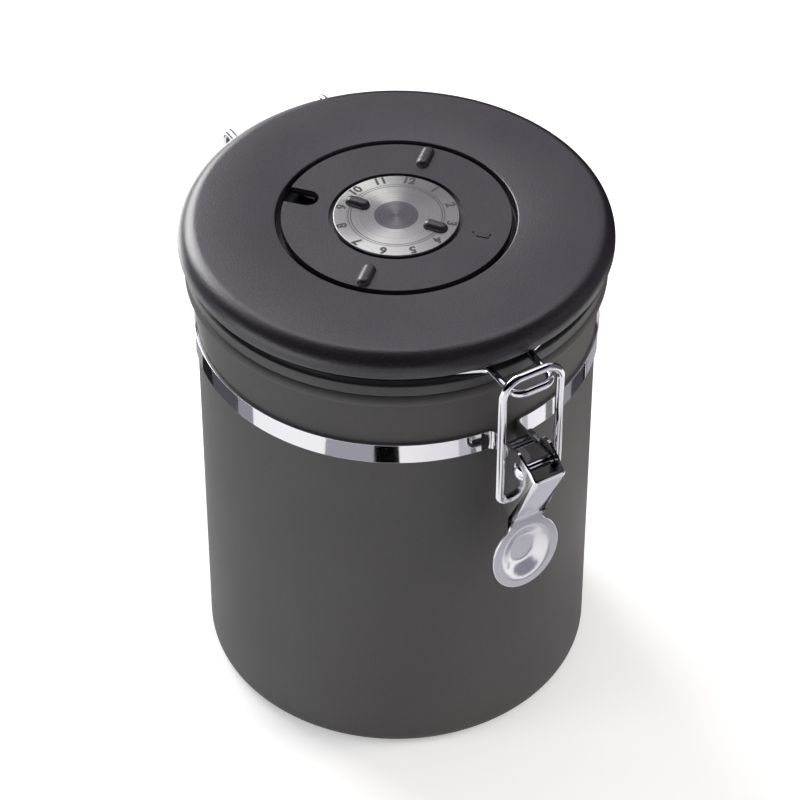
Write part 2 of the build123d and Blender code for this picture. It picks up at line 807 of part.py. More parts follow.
def make_valve_cap():
    """Vented cap pressed into the top of the valve's bore."""
    bottom = valve_web_top + running_gap + valve_disc_thickness + valve_travel + seat_gap
    cap = disc(valve_bore_radius - running_gap, bottom, valve_neck_top)
    cap += disc(valve_neck_radius, valve_neck_top, valve_neck_top + valve_cap_lip)
    height = valve_neck_top - bottom + valve_cap_lip
    hole = extrude(Circle(valve_hole_radius), height + 2 * cut_over)
    step = 360 / valve_hole_count
    for index in range(valve_hole_count):
        cap -= at_angle(step * index, Pos(0, -valve_hole_circle, bottom - cut_over) * hole)
    return cap


def make_valve_filter():
    """Fine dust filter under the valve's web."""
    top = valve_web_bottom
    return disc(valve_bore_radius - filter_edge_gap, top - filter_thickness, top)


pieces = {
    "can_body": make_can,
    "neck_band": make_neck_band,
    "clamp_screw": make_clamp_screw,
    "clamp_nut": make_clamp_nut,
    "hinge_bracket": make_hinge_bracket,
    "lever_pin": make_lever_pin,
    "latch_lever": make_latch_lever,
    "latch_loop": make_latch_loop,
    "bail_wire": make_bail_wire,
    "lid_base": make_lid_base,
    "lid_gasket": make_gasket,
    "lid_cap": make_lid_cap,
    "lid_screws": make_lid_screws,
    "day_scale": make_day_scale,
    "day_ring": make_day_ring,
    "dial_carrier": make_dial_carrier,
    "dial_plate": make_dial_plate,
    "dial_washer": make_dial_washer,
    "dial_screw": make_dial_screw,
    "valve_body": make_valve_body,
    "valve_disc": make_valve_disc,
    "valve_cap": make_valve_cap,
    "valve_filter": make_valve_filter,
}

os.makedirs("parts", exist_ok=True)
for name, make in pieces.items():
    export_step(make(), f"parts/{name}.step")
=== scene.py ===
from math import atan2, cos, degrees, pi, radians, sin, sqrt, tan

import bmesh
import bpy
from bpy.props import FloatProperty, FloatVectorProperty, IntProperty, PointerProperty
from mathutils import Matrix, Quaternion, Vector


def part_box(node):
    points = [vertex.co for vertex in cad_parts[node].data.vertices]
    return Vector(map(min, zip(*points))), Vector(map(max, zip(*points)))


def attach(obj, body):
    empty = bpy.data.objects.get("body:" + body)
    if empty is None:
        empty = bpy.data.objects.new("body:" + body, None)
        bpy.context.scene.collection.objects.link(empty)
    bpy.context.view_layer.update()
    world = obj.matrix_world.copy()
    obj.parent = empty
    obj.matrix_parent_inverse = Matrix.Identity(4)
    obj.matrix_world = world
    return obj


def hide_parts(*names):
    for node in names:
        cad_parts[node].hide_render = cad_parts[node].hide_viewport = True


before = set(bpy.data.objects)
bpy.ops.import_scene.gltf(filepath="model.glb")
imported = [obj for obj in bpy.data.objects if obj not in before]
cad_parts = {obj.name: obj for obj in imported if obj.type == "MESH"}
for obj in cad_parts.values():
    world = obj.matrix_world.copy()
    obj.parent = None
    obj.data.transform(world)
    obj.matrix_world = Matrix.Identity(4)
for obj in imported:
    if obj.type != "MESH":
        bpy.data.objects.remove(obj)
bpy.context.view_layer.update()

bl_info = {
    "name": "Clamp-lid canister",
    "version": (1, 0, 0),
    "blender": (4, 5, 0),
    "location": "View3D > Sidebar > Canister",
    "description": "Builds a coated steel canister with a wire-held lid, a latch and a date dial",
    "category": "Add Mesh",
}

MM = 0.001


def top_of(node):
    """Height of a CAD node's highest point, in mm."""
    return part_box(node)[1].z / MM


def bottom_of(node):
    """Height of a CAD node's lowest point, in mm."""
    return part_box(node)[0].z / MM


def half_width(node):
    """Half a CAD node's size along X, in mm."""
    low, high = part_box(node)
    return (high.x - low.x) / 2 / MM


# Sizes in mm, read from the frame where a node gives them
can_height = top_of("can_body")
can_radius = 61.0
can_wall = 0.7
curl_inner = 1.15
curl_outer = curl_inner + can_wall
curl_centre = can_radius + curl_inner
curl_height = can_height - curl_outer
band_bottom = bottom_of("neck_band")
band_top = top_of("neck_band")
band_middle = (band_bottom + band_top) / 2
band_thickness = 1.0
band_radius = half_width("neck_band") - band_thickness / 2
ear_line = 4.0
ear_bend = 2.0
ear_corner = 2.0
lever_outer = 5.6
lever_sheet = 0.85
pivot_reach = 77.9
eye_reach = 74.7
eye_height = 115.2
lever_tilt = radians(26.5)
lever_face = 7.5
lever_back = 6.0
lever_crown = 6.1
lever_heel = 9.0
lever_waist = (0.2, 21.0)
lever_neck = 4.5
lever_fold = 1.6
spoon_reach = 75.0
spoon_centre = 89.6
spoon_half_width = half_width("latch_lever")
spoon_half_length = spoon_centre - bottom_of("latch_lever")
loop_wire = 1.35
loop_half = half_width("latch_loop") - loop_wire
bail_wire = 1.25
bail_ring = half_width("bail_wire") - bail_wire
bail_height = top_of("bail_wire") - bail_wire
hinge_reach = 75.0
hinge_leg = 16.9
hinge_end = 10.2
nose_half = 6.9
nose_run = 23.5
nose_reach = 77.0
bracket_line = 12.5
flange_radius = half_width("lid_base")
flange_bottom = top_of("lid_gasket")
flange_top = flange_bottom + 4.0
groove_top = flange_top + 4.2
groove_radius = flange_radius - 4.9
cap_radius = 65.7
lid_top = top_of("lid_cap")
recess_radius = 36.2
recess_bottom = lid_top - 5.0
ring_radius = half_width("day_ring")
ring_bottom = bottom_of("day_ring")
slot_angle = -138.7
slot_width = 7.2
slot_inner = 24.6
nub_width = 4.3
nub_round = 1.8
dial_radius = half_width("dial_plate")
dial_top = top_of("dial_plate")
dial_nub_angle = 33.3
twelve_angle = 135.6
camera_azimuth = -31.2
camera_elevation = radians(42.22)


def linear(code):
    """Linear colour of an sRGB hex value."""
    channels = [int(code[i : i + 2], 16) / 255 for i in (1, 3, 5)]
    return [c / 12.92 if c <= 0.04045 else ((c + 0.055) / 1.055) ** 2.4 for c in channels]


class CanisterSizes(bpy.types.PropertyGroup):
    """Sizes that a user would change without touching the frame."""

    round_steps: IntProperty(
        name="Steps round", description="Faces round each turned piece", default=240, min=48
    )
    month_height: FloatProperty(
        name="Month numbers",
        description="Height of the month numbers",
        default=0.0029,
        precision=5,
        unit="LENGTH",
        subtype="DISTANCE",
    )
    day_height: FloatProperty(
        name="Day numbers",
        description="Height of the day numbers",
        default=0.0034,
        precision=5,
        unit="LENGTH",
        subtype="DISTANCE",
    )


class CanisterColours(bpy.types.PropertyGroup):
    """Colours that a user would change."""

    coat: FloatVectorProperty(
        name="Powder coat", description="Coat of the can", subtype="COLOR", default=linear("#444242")
    )
    lid: FloatVectorProperty(
        name="Lid plastic", description="Moulded lid", subtype="COLOR", default=linear("#1B181E")
    )
    steel: FloatVectorProperty(
        name="Bright steel", description="Strap, latch and wires", subtype="COLOR", default=linear("#D6D5DA")
    )
    print_ink: FloatVectorProperty(
        name="Print", description="Numbers on the month plate", subtype="COLOR", default=linear("#232225")
    )


def add_node(tree, kind, values=(), links=(), **settings):
    """Add a shader node with its settings, input values and links from outputs."""
    made = tree.nodes.new(kind)
    for name, value in settings.items():
        setattr(made, name, value)
    for socket, value in values:
        made.inputs[socket].default_value = value
    for socket, source in links:
        tree.links.new(source, made.inputs[socket])
    return made


def new_material(name):
    """Empty material with its shader and the object's own coordinates."""
    material = bpy.data.materials.new(name)
    material.use_nodes = True
    tree = material.node_tree
    tree.nodes.clear()
    shader = add_node(tree, "ShaderNodeBsdfPrincipled")
    add_node(tree, "ShaderNodeOutputMaterial", links=[("Surface", shader.outputs[0])])
    place = add_node(tree, "ShaderNodeTexCoord").outputs["Object"]
    return material, tree, shader, place


def grain(tree, place, size_mm, detail=2.0):
    """Noise whose lumps measure about size_mm."""
    values = [("Scale", 1 / (size_mm * MM)), ("Detail", detail)]
    return add_node(tree, "ShaderNodeTexNoise", values, [("Vector", place)]).outputs["Fac"]


def ramp(tree, source, low, high, start=0.3, end=0.7):
    """Spread a noise between two numbers."""
    values = [("From Min", start), ("From Max", end), ("To Min", low), ("To Max", high)]
    return add_node(tree, "ShaderNodeMapRange", values, [("Value", source)]).outputs[0]


def tinted(tree, source, first, second):
    """Mix of two colours by a number."""
    mix = add_node(tree, "ShaderNodeMix", links=[("Factor", source)], data_type="RGBA")
    mix.inputs["A"].default_value = (*first, 1)
    mix.inputs["B"].default_value = (*second, 1)
    return mix.outputs["Result"]


def bumped(tree, shader, height, depth_mm, strength=1.0):
    """Raise the surface by a height pattern, depth_mm deep."""
    values = [("Strength", strength), ("Distance", depth_mm * MM)]
    bump = add_node(tree, "ShaderNodeBump", values, [("Height", height)])
    tree.links.new(bump.outputs[0], shader.inputs["Normal"])
    return bump


def powder_coat(colour):
    """Matt polyester powder coat, baked on steel: fine orange peel and soft sheen."""
    material, tree, shader, place = new_material("Powder coat, matt anthracite")
    # Real grit is about 0.2 mm; it is drawn at 0.5 mm, the finest that shows
    grit = grain(tree, place, 0.5, 3.0)
    peel = grain(tree, place, 2.2)
    worn = grain(tree, place, 35.0)
    lighter = [c * 1.16 for c in colour]
    darker = [c * 0.9 for c in colour]
    shade = tinted(tree, ramp(tree, grit, 0, 1, 0.25, 0.75), darker, lighter)
    tree.links.new(shade, shader.inputs["Base Color"])
    tree.links.new(ramp(tree, worn, 0.58, 0.66), shader.inputs["Roughness"])
    shader.inputs["Specular IOR Level"].default_value = 0.42
    both = add_node(
        tree, "ShaderNodeMath", links=[(0, grit), (1, peel)], operation="ADD"
    ).outputs[0]
    bumped(tree, shader, both, 0.03, 0.5)
    return material


def moulded_plastic(name, colour, rough_low, rough_high, grain_mm, depth_mm, fleck):
    """Injection-moulded ABS with a spark-eroded grain that breaks up its highlights."""
    material, tree, shader, place = new_material(name)
    # The mould's grain is 0.1 to 0.3 mm; it is drawn as coarse as it needs to show
    speckle = grain(tree, place, grain_mm, 3.0)
    cloud = grain(tree, place, 28.0)
    lighter = [c * fleck for c in colour]
    darker = [c / fleck for c in colour]
    shade = tinted(tree, ramp(tree, speckle, 0, 1), darker, lighter)
    tree.links.new(shade, shader.inputs["Base Color"])
    tree.links.new(ramp(tree, cloud, rough_low, rough_high), shader.inputs["Roughness"])
    shader.inputs["IOR"].default_value = 1.54
    bumped(tree, shader, speckle, depth_mm, 0.6)
    return material


def polished_steel(name, colour, rough_low, rough_high):
    """Stainless steel, pressed and barrel polished: mirror-like with faint hairlines."""
    material, tree, shader, place = new_material(name)
    shader.inputs["Base Color"].default_value = (*colour, 1)
    shader.inputs["Metallic"].default_value = 1.0
    waves = grain(tree, place, 9.0, 1.0)
    hairlines = grain(tree, place, 0.6, 4.0)
    tree.links.new(ramp(tree, hairlines, rough_low, rough_high), shader.inputs["Roughness"])
    bumped(tree, shader, waves, 0.02, 0.2)
    return material


def plain_steel():
    """Zinc-plated screw steel: soft grey gloss with fine scratches."""
    material, tree, shader, place = new_material("Screw steel, zinc plated")
    scratches = grain(tree, place, 0.3, 5.0)
    shade = tinted(tree, ramp(tree, scratches, 0, 1), linear("#8E8F92"), linear("#B4B5B8"))
    tree.links.new(shade, shader.inputs["Base Color"])
    shader.inputs["Metallic"].default_value = 1.0
    tree.links.new(ramp(tree, scratches, 0.24, 0.4), shader.inputs["Roughness"])
    bumped(tree, shader, scratches, 0.01, 0.4)
    return material


def ring_mask(tree, radius, middle, width):
    """1 inside a ring of that middle radius and width, in mm."""
    away = add_node(
        tree, "ShaderNodeMath", [(1, middle * MM)], [(0, radius)], operation="SUBTRACT"
    ).outputs[0]
    size = add_node(tree, "ShaderNodeMath", links=[(0, away)], operation="ABSOLUTE").outputs[0]
    return add_node(
        tree, "ShaderNodeMath", [(1, width / 2 * MM)], [(0, size)], operation="LESS_THAN"
    ).outputs[0]


def brushed_plate(ink):
    """Stainless plate brushed in circles, with a printed double line and a plain badge."""
    material, tree, shader, place = new_material("Stainless steel, spun brushed")
    flat = add_node(tree, "ShaderNodeVectorMath", [(1, (1, 1, 0))], [(0, place)], operation="MULTIPLY")
    radius = add_node(
        tree, "ShaderNodeVectorMath", links=[(0, flat.outputs[0])], operation="LENGTH"
    ).outputs["Value"]
    # Brush lines are about 0.05 mm apart; they are drawn at 0.15 mm so that they just show
    lines = add_node(
        tree,
        "ShaderNodeTexNoise",
        [("Scale", 1 / (0.15 * MM)), ("Detail", 3.0)],
        [("W", radius)],
        noise_dimensions="1D",
    ).outputs["Fac"]
    # Set darker than bare stainless steel, for the bright panels above the dial
    steel = tinted(tree, ramp(tree, lines, 0, 1), linear("#80817D"), linear("#90918D"))
    print_mask = ring_mask(tree, radius, 0.0, 13.3)
    for middle in (13.75, 14.5):
        line = ring_mask(tree, radius, middle, 0.28)
        print_mask = add_node(
            tree, "ShaderNodeMath", links=[(0, print_mask), (1, line)], operation="MAXIMUM"
        ).outputs[0]
    mix = add_node(
        tree, "ShaderNodeMix", links=[("Factor", print_mask), ("A", steel)], data_type="RGBA"
    )
    mix.inputs["B"].default_value = (*[c * 3.6 for c in ink], 1)
    tree.links.new(mix.outputs["Result"], shader.inputs["Base Color"])
    bare = add_node(
        tree, "ShaderNodeMath", [(0, 1.0)], [(1, print_mask)], operation="SUBTRACT"
    ).outputs[0]
    tree.links.new(bare, shader.inputs["Metallic"])
    tree.links.new(ramp(tree, lines, 0.26, 0.38), shader.inputs["Roughness"])
    shader.inputs["Anisotropic"].default_value = 0.85
    round_way = add_node(tree, "ShaderNodeTangent", direction_type="RADIAL", axis="Z")
    tree.links.new(round_way.outputs[0], shader.inputs["Tangent"])
    bare_lines = add_node(
        tree, "ShaderNodeMath", links=[(0, lines), (1, bare)], operation="MULTIPLY"
    ).outputs[0]
    bumped(tree, shader, bare_lines, 0.004, 0.5)
    return material


def silicone():
    """Cast silicone rubber: milky and soft, with a faint bloom."""
    material, tree, shader, place = new_material("Silicone rubber, milky")
    bloom = grain(tree, place, 4.0, 3.0)
    shade = tinted(tree, ramp(tree, bloom, 0, 1), linear("#C9C8C4"), linear("#DAD9D6"))
    tree.links.new(shade, shader.inputs["Base Color"])
    tree.links.new(ramp(tree, bloom, 0.42, 0.6), shader.inputs["Roughness"])
    shader.inputs["Subsurface Weight"].default_value = 0.15
    shader.inputs["Subsurface Scale"].default_value = 0.001
    bumped(tree, shader, bloom, 0.02, 0.3)
    return material


def felt():
    """Pressed filter felt: pale matted fibres."""
    material, tree, shader, place = new_material("Filter felt, pressed fibre")
    fibres = grain(tree, place, 0.35, 6.0)
    shade = tinted(tree, ramp(tree, fibres, 0, 1), linear("#B9B4A8"), linear("#E3DFD5"))
    tree.links.new(shade, shader.inputs["Base Color"])
    tree.links.new(ramp(tree, fibres, 0.8, 0.95), shader.inputs["Roughness"])
    bumped(tree, shader, fibres, 0.1, 0.8)
    return material


def printed_ink(name, colour):
    """Pad-printed ink: an even film, slightly uneven in gloss."""
    material, tree, shader, place = new_material(name)
    film = grain(tree, place, 0.4, 3.0)
    lighter = [c * 1.15 for c in colour]
    shade = tinted(tree, ramp(tree, film, 0, 1), colour, lighter)
    tree.links.new(shade, shader.inputs["Base Color"])
    tree.links.new(ramp(tree, film, 0.4, 0.55), shader.inputs["Roughness"])
    bumped(tree, shader, film, 0.01, 0.3)
    return material


def section(points, rounds=()):
    """Bmesh with one face in the XZ plane through points in mm.

    rounds holds (point number, radius in mm) for each corner that is rounded.
    """
    shape = bmesh.new()
    places = [Vector((x * MM, 0, z * MM)) for x, z in points]
    corners = [shape.verts.new(place) for place in places]
    shape.faces.new(corners)
    for number, radius in rounds:
        before = places[number - 1] - places[number]
        after = places[(number + 1) % len(places)] - places[number]
        setback = radius * MM / tan(before.angle(after) / 2)
        segments = max(3, min(14, round(radius * 6)))
        bmesh.ops.bevel(
            shape,
            geom=[corners[number]],
            offset=setback,
            offset_type="OFFSET",
            affect="VERTICES",
            segments=segments,
            profile=0.5,
            material=-1,
        )
    return shape


def spin_round(shape, steps):
    """Turn a section's outline round the Z axis into a closed skin."""
    bmesh.ops.delete(shape, geom=[e for e in shape.edges if not e.is_boundary], context="EDGES_FACES")
    bmesh.ops.delete(shape, geom=shape.faces[:], context="FACES_ONLY")
    axis_edges = [e for e in shape.edges if all(abs(v.co.x) < 1e-8 for v in e.verts)]
    bmesh.ops.delete(shape, geom=axis_edges, context="EDGES")
    bmesh.ops.spin(
        shape,
        geom=shape.verts[:] + shape.edges[:],
        cent=(0, 0, 0),
        axis=(0, 0, 1),
        angle=2 * pi,
        steps=steps,
        use_merge=True,
        use_duplicate=False,
    )
    bmesh.ops.remove_doubles(shape, verts=shape.verts[:], dist=1e-7)
    bmesh.ops.recalc_face_normals(shape, faces=shape.faces[:])
    return shape


def turned(points, rounds=(), steps=240):
    """Turned piece from a section in mm."""
    return spin_round(section(points, rounds), steps)


def tube(outer, inner, bottom, top, edge=0.2, steps=240):
    """Washer or plate between two heights, with its edges broken."""
    points = [(inner, bottom), (outer, bottom), (outer, top), (inner, top)]
    rounds = [(1, edge), (2, edge)]
    if inner:
        rounds += [(0, edge), (3, edge)]
    return turned(points, rounds, steps)


def add_shape(shape, other, place=None):
    """Put a copy of another bmesh into shape, at a place."""
    mesh = bpy.data.meshes.new("joined")
    other.to_mesh(mesh)
    other.free()
    if place is not None:
        mesh.transform(place)
    shape.from_mesh(mesh)
    bpy.data.meshes.remove(mesh)
    return shape


def finish_mesh(shape, name, material, angle=35):
    """Smooth-shaded mesh of a bmesh, with sharp edges over an angle."""
    mesh = bpy.data.meshes.new(name)
    shape.to_mesh(mesh)
    shape.free()
    mesh.materials.append(material)
    mesh.shade_smooth()
    mesh.set_sharp_from_angle(angle=radians(angle))
    return mesh


def place_piece(name, mesh, body, replaces=()):
    """Object for a mesh that rides on a body and stands for CAD nodes."""
    piece = bpy.data.objects.new(name, mesh)
    bpy.context.scene.collection.objects.link(piece)
    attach(piece, body)
    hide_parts(*replaces)
    return piece


def make_piece(name, shape, material, body, replaces=(), angle=35):
    """Finished object from a bmesh."""
    mesh = finish_mesh(shape, name, material, angle)
    return place_piece(name, mesh, body, replaces)


def break_edges(piece, width, segments=3, angle=40):
    """Round a piece's sharp edges."""
    bevel = piece.modifiers.new("Broken edges", "BEVEL")
    bevel.width = width
    bevel.segments = segments
    bevel.limit_method = "ANGLE"
    bevel.angle_limit = radians(angle)
    bevel.harden_normals = True
    return bevel


def thicken(piece, thickness, offset):
    """Give a sheet its thickness."""
    wall = piece.modifiers.new("Sheet", "SOLIDIFY")
    wall.thickness = thickness * MM
    wall.offset = offset
    wall.use_even_offset = True
    return wall


def bake_modifiers(piece):
    """Replace a piece's mesh with the result of its modifiers."""
    graph = bpy.context.evaluated_depsgraph_get()
    old = piece.data
    piece.data = bpy.data.meshes.new_from_object(piece.evaluated_get(graph))
    piece.modifiers.clear()
    bpy.data.meshes.remove(old)


def cut_away(piece, shape, folded=False):
    """Cut a bmesh's solid out of a piece, which is folded where its own faces cross."""
    mesh = bpy.data.meshes.new("cutter")
    shape.to_mesh(mesh)
    shape.free()
    cutter = bpy.data.objects.new("cutter", mesh)
    bpy.context.scene.collection.objects.link(cutter)
    cut = piece.modifiers.new("Cut", "BOOLEAN")
    cut.operation = "DIFFERENCE"
    cut.solver = "EXACT"
    cut.use_self = folded
    cut.object = cutter
    bake_modifiers(piece)
    bpy.data.objects.remove(cutter)
    bpy.data.meshes.remove(mesh)


def arc(centre, radius, start, end, step=4.0):
    """Plan points of an arc in mm and degrees."""
    count = max(2, round(abs(end - start) / step))
    angles = [radians(start + (end - start) * i / count) for i in range(count + 1)]
    return [(centre[0] + radius * cos(a), centre[1] + radius * sin(a)) for a in angles]


def knee(ring, leg, bend, side):
    """Bend from a leg on the -X side to a ring, on the +Y side, in mm.

    side is 1 where the ring comes from outside the leg, -1 from between the legs.
    """
    centre_x = leg + side * bend
    centre_y = sqrt((ring + bend) ** 2 - centre_x**2)
    ring_side = degrees(atan2(-centre_y, centre_x))
    if side > 0:
        return arc((-centre_x, centre_y), bend, 0, ring_side, 8)
    return arc((-centre_x, centre_y), bend, 180, 360 + ring_side, 8)


def to_latch(points):
    """Plan points taken to the latch side."""
    return [(x, -y) for x, y in points]


def both_sides(points):
    """A path's -X half followed by its mirror image."""
    return points + [(-p[0], *p[1:]) for p in reversed(points) if abs(p[0]) > 1e-6]


def rounded_path(points, radii):
    """Polyline in mm with its inner corners turned into arcs."""
    points = [Vector(p) for p in points]
    path = [points[0]]
    for before, corner, after, radius in zip(points, points[1:], points[2:], radii):
        back = (before - corner).normalized()
        on = (after - corner).normalized()
        half = back.angle(on) / 2
        centre = corner + (back + on).normalized() * radius / sin(half)
        first = corner + back * radius / tan(half) - centre
        axis = back.cross(first).normalized()
        sweep = pi - 2 * half
        count = max(3, round(degrees(sweep) / 6))
        for i in range(count + 1):
            path.append(centre + Quaternion(axis, sweep * i / count) @ first)
    path.append(points[-1])
    return [tuple(p) for p in path]


def wire_mesh(name, points, radius, material):
    """Round wire along points in mm."""
    curve = bpy.data.curves.new(name, "CURVE")
    curve.dimensions = "3D"
    curve.bevel_depth = radius * MM
    curve.bevel_resolution = 6
    curve.use_fill_caps = True
    spline = curve.splines.new("POLY")
    spline.points.add(len(points) - 1)
    for point, place in zip(spline.points, points):
        point.co = (*[c * MM for c in place], 1)
    holder = bpy.data.objects.new(name, curve)
    mesh = bpy.data.meshes.new_from_object(holder)
    bpy.data.objects.remove(holder)
    bpy.data.curves.remove(curve)
    mesh.materials.clear()
    mesh.materials.append(material)
    mesh.shade_smooth()
    mesh.set_sharp_from_angle(angle=radians(50))
    return mesh


def ribbon(path, bottom, top, corner):
    """Upright sheet along a plan path in mm, with the corners of its ends rounded."""
    shape = bmesh.new()
    low = [shape.verts.new((x * MM, y * MM, bottom * MM)) for x, y in path]
    edges = [shape.edges.new(pair) for pair in zip(low, low[1:])]
    grown = bmesh.ops.extrude_edge_only(shape, edges=edges)["geom"]
    high = [v for v in grown if isinstance(v, bmesh.types.BMVert)]
    bmesh.ops.translate(shape, verts=high, vec=(0, 0, (top - bottom) * MM))
    ends = [v for v in shape.verts if len(v.link_edges) == 2]
    bmesh.ops.bevel(
        shape,
        geom=ends,
        offset=corner * MM,
        offset_type="OFFSET",
        affect="VERTICES",
        segments=8,
        profile=0.5,
        material=-1,
    )
    bmesh.ops.recalc_face_normals(shape, faces=shape.faces[:])
    return shape


def text_mesh(name, words, height, thickness, material):
    """Flat text as a mesh, centred on the origin."""
    curve = bpy.data.curves.new(name, "FONT")
    curve.body = words
    curve.size = height / 0.7
    curve.align_x = "CENTER"
    curve.align_y = "CENTER"
    curve.extrude = thickness / 2
    curve.offset = height * 0.06
    curve.resolution_u = 6
    holder = bpy.data.objects.new(name, curve)
    mesh = bpy.data.meshes.new_from_object(holder)
    bpy.data.objects.remove(holder)
    bpy.data.curves.remove(curve)
    mesh.materials.clear()
    mesh.materials.append(material)
    return mesh


def numbers_round(name, labels, first_angle, step, reach, height, size, material, body):
    """Numbers in a ring, tops outwards, first_angle from the latch and on by step."""
    thickness = 0.04 * MM
    joined = bmesh.new()
    for index, label in enumerate(labels):
        mesh = text_mesh(name, label, size, thickness, material)
        angle = radians(first_angle + step * index)
        spot = Vector((reach * MM * sin(angle), -reach * MM * cos(angle), height * MM))
        turn = Matrix.Rotation(angle + pi, 4, "Z")
        mesh.transform(Matrix.Translation(spot) @ turn)
        joined.from_mesh(mesh)
        bpy.data.meshes.remove(mesh)
    mesh = bpy.data.meshes.new(name)
    joined.to_mesh(mesh)
    joined.free()
    mesh.materials.append(material)
    return place_piece(name, mesh, body)


def grip(inner, outer, width, bottom, top, edge, angle):
    """Oblong grip with a domed top, long way radial, in mm."""
    shape = bmesh.new()
    half = width / 2
    reach = (outer - inner) / 2 - half
    outline = arc((reach, 0), half, -90, 90, 12) + arc((-reach, 0), half, 90, 270, 12)
    corners = [shape.verts.new((x * MM, y * MM, bottom * MM)) for x, y in outline]
    base = shape.faces.new(corners)
    grown = bmesh.ops.extrude_face_region(shape, geom=[base])["geom"]
    lifted = [v for v in grown if isinstance(v, bmesh.types.BMVert)]
    bmesh.ops.translate(shape, verts=lifted, vec=(0, 0, (top - bottom) * MM))
    rim = [e for e in shape.edges if all(v in lifted for v in e.verts)]
    bmesh.ops.bevel(
        shape,
        geom=rim,
        offset=edge * MM,
        offset_type="OFFSET",
        affect="EDGES",
        segments=5,
        profile=0.5,
        material=-1,
    )
    bmesh.ops.recalc_face_normals(shape, faces=shape.faces[:])
    middle = (inner + outer) / 2 * MM
    place = Matrix.Rotation(radians(angle), 4, "Z") @ Matrix.Translation((0, -middle, 0))
    bmesh.ops.transform(shape, matrix=place @ Matrix.Rotation(pi / 2, 4, "Z"), verts=shape.verts[:])
    return shape


def domed_head(radius, rise, edge, steps=48):
    """Shallow domed head standing on the XY plane, in mm."""
    ball = (radius**2 + rise**2) / (2 * rise)
    span = degrees(atan2(radius, ball - rise))
    crown = [(x, z + rise - ball) for x, z in arc((0, 0), ball, 90 - span, 90, 3)]
    points = [(0, -edge), (radius, -edge)] + crown[:-1] + [(0, rise)]
    return turned(points, steps=steps)


def pin_along_x(reach, height, start, end, radius, head_radius, head_rise):
    """Rivet or screw along X with a domed head at each end that has one, in mm."""
    points = [(0, start), (radius, start), (radius, end), (0, end)]
    shape = turned(points, steps=48)
    along = Matrix.Translation((0, -reach * MM, height * MM)) @ Matrix.Rotation(pi / 2, 4, "Y")
    for side in (-1, 1):
        if head_radius[side > 0]:
            at = (end if side > 0 else start) * MM
            turn = Matrix.Identity(4) if side > 0 else Matrix.Rotation(pi, 4, "X")
            head = domed_head(head_radius[side > 0], head_rise, 0.15)
            add_shape(shape, head, Matrix.Translation((0, 0, at)) @ turn)
    bmesh.ops.transform(shape, matrix=along, verts=shape.verts[:])
    return shape


def lever_point(out, down):
    """Side-view point (reach, height) on the tilted lever, from its pivot, in mm."""
    reach = pivot_reach + out * cos(lever_tilt) - down * sin(lever_tilt)
    height = band_middle - out * sin(lever_tilt) - down * cos(lever_tilt)
    return (reach, height)


def side_to_latch(shape):
    """Turn a section drawn as (reach, height) to the latch side."""
    bmesh.ops.transform(shape, matrix=Matrix.Rotation(-pi / 2, 4, "Z"), verts=shape.verts[:])
    return shape


class Palette:
    """The canister's materials, made when they are first asked for."""

    made = {}

    @classmethod
    def get(cls, name):
        """Material by its short name."""
        if name not in cls.made:
            colours = bpy.context.scene.canister_colours
            makers = {
                "coat": lambda: powder_coat(colours.coat[:]),
                "cap": lambda: moulded_plastic(
                    "ABS, black, moulded grain", colours.lid[:], 0.27, 0.33, 0.5, 0.11, 2.2
                ),
                "base": lambda: moulded_plastic(
                    "ABS, black, satin", linear("#242326"), 0.38, 0.46, 0.4, 0.015, 1.5
                ),
                "pale": lambda: moulded_plastic(
                    "Polypropylene, natural", linear("#D3D2CE"), 0.35, 0.45, 0.6, 0.01, 1.06
                ),
                "steel": lambda: polished_steel(
                    "Stainless steel, polished", colours.steel[:], 0.03, 0.09
                ),
                "satin": lambda: polished_steel(
                    "Stainless steel, satin", colours.steel[:], 0.1, 0.16
                ),
                "soft": lambda: polished_steel(
                    "Stainless steel, fine blasted", colours.steel[:], 0.17, 0.21
                ),
                "screw": plain_steel,
                "plate": lambda: brushed_plate(colours.print_ink[:]),
                "silicone": silicone,
                "felt": felt,
                "ink": lambda: printed_ink("Pad print, dark grey", colours.print_ink[:]),
                "white": lambda: printed_ink("Pad print, white", linear("#D9D9D6")),
                "scale": lambda: moulded_plastic(
                    "ABS, black, smooth", linear("#0B0B0C"), 0.5, 0.6, 0.4, 0.006, 1.5
                ),
            }
            cls.made[name] = makers[name]()
        return cls.made[name]


def steps_round():
    """Faces round each large turned piece."""
    return bpy.context.scene.canister_sizes.round_steps


class CANISTER_OT_can(bpy.types.Operator):
    """Drawn steel can with a shaped base and an outward-rolled rim"""

    bl_idname = "canister.can"
    bl_label = "Can"

    def execute(self, context):
        inner = can_radius - can_wall
        points = [
            (0, 1.2),
            (49, 1.2),
            (51, 0),
            (can_radius, 0),
            (can_radius, curl_height),
            (inner, curl_height),
            (inner, can_wall),
            (51, can_wall),
            (49, 1.2 + can_wall),
            (0, 1.2 + can_wall),
        ]
        shape = section(points, [(3, 5.0), (6, 5.0 - can_wall)])
        lip = [e for e in shape.edges if all(abs(v.co.z - curl_height * MM) < 1e-7 for v in e.verts)]
        bmesh.ops.spin(
            shape,
            geom=lip + list(lip[0].verts),
            cent=(curl_centre * MM, 0, curl_height * MM),
            axis=(0, 1, 0),
            angle=radians(295),
            steps=40,
            use_merge=False,
            use_duplicate=False,
        )
        spin_round(shape, steps_round())
        make_piece("can_shell", shape, Palette.get("coat"), "canister", ["can_body"])
        return {"FINISHED"}


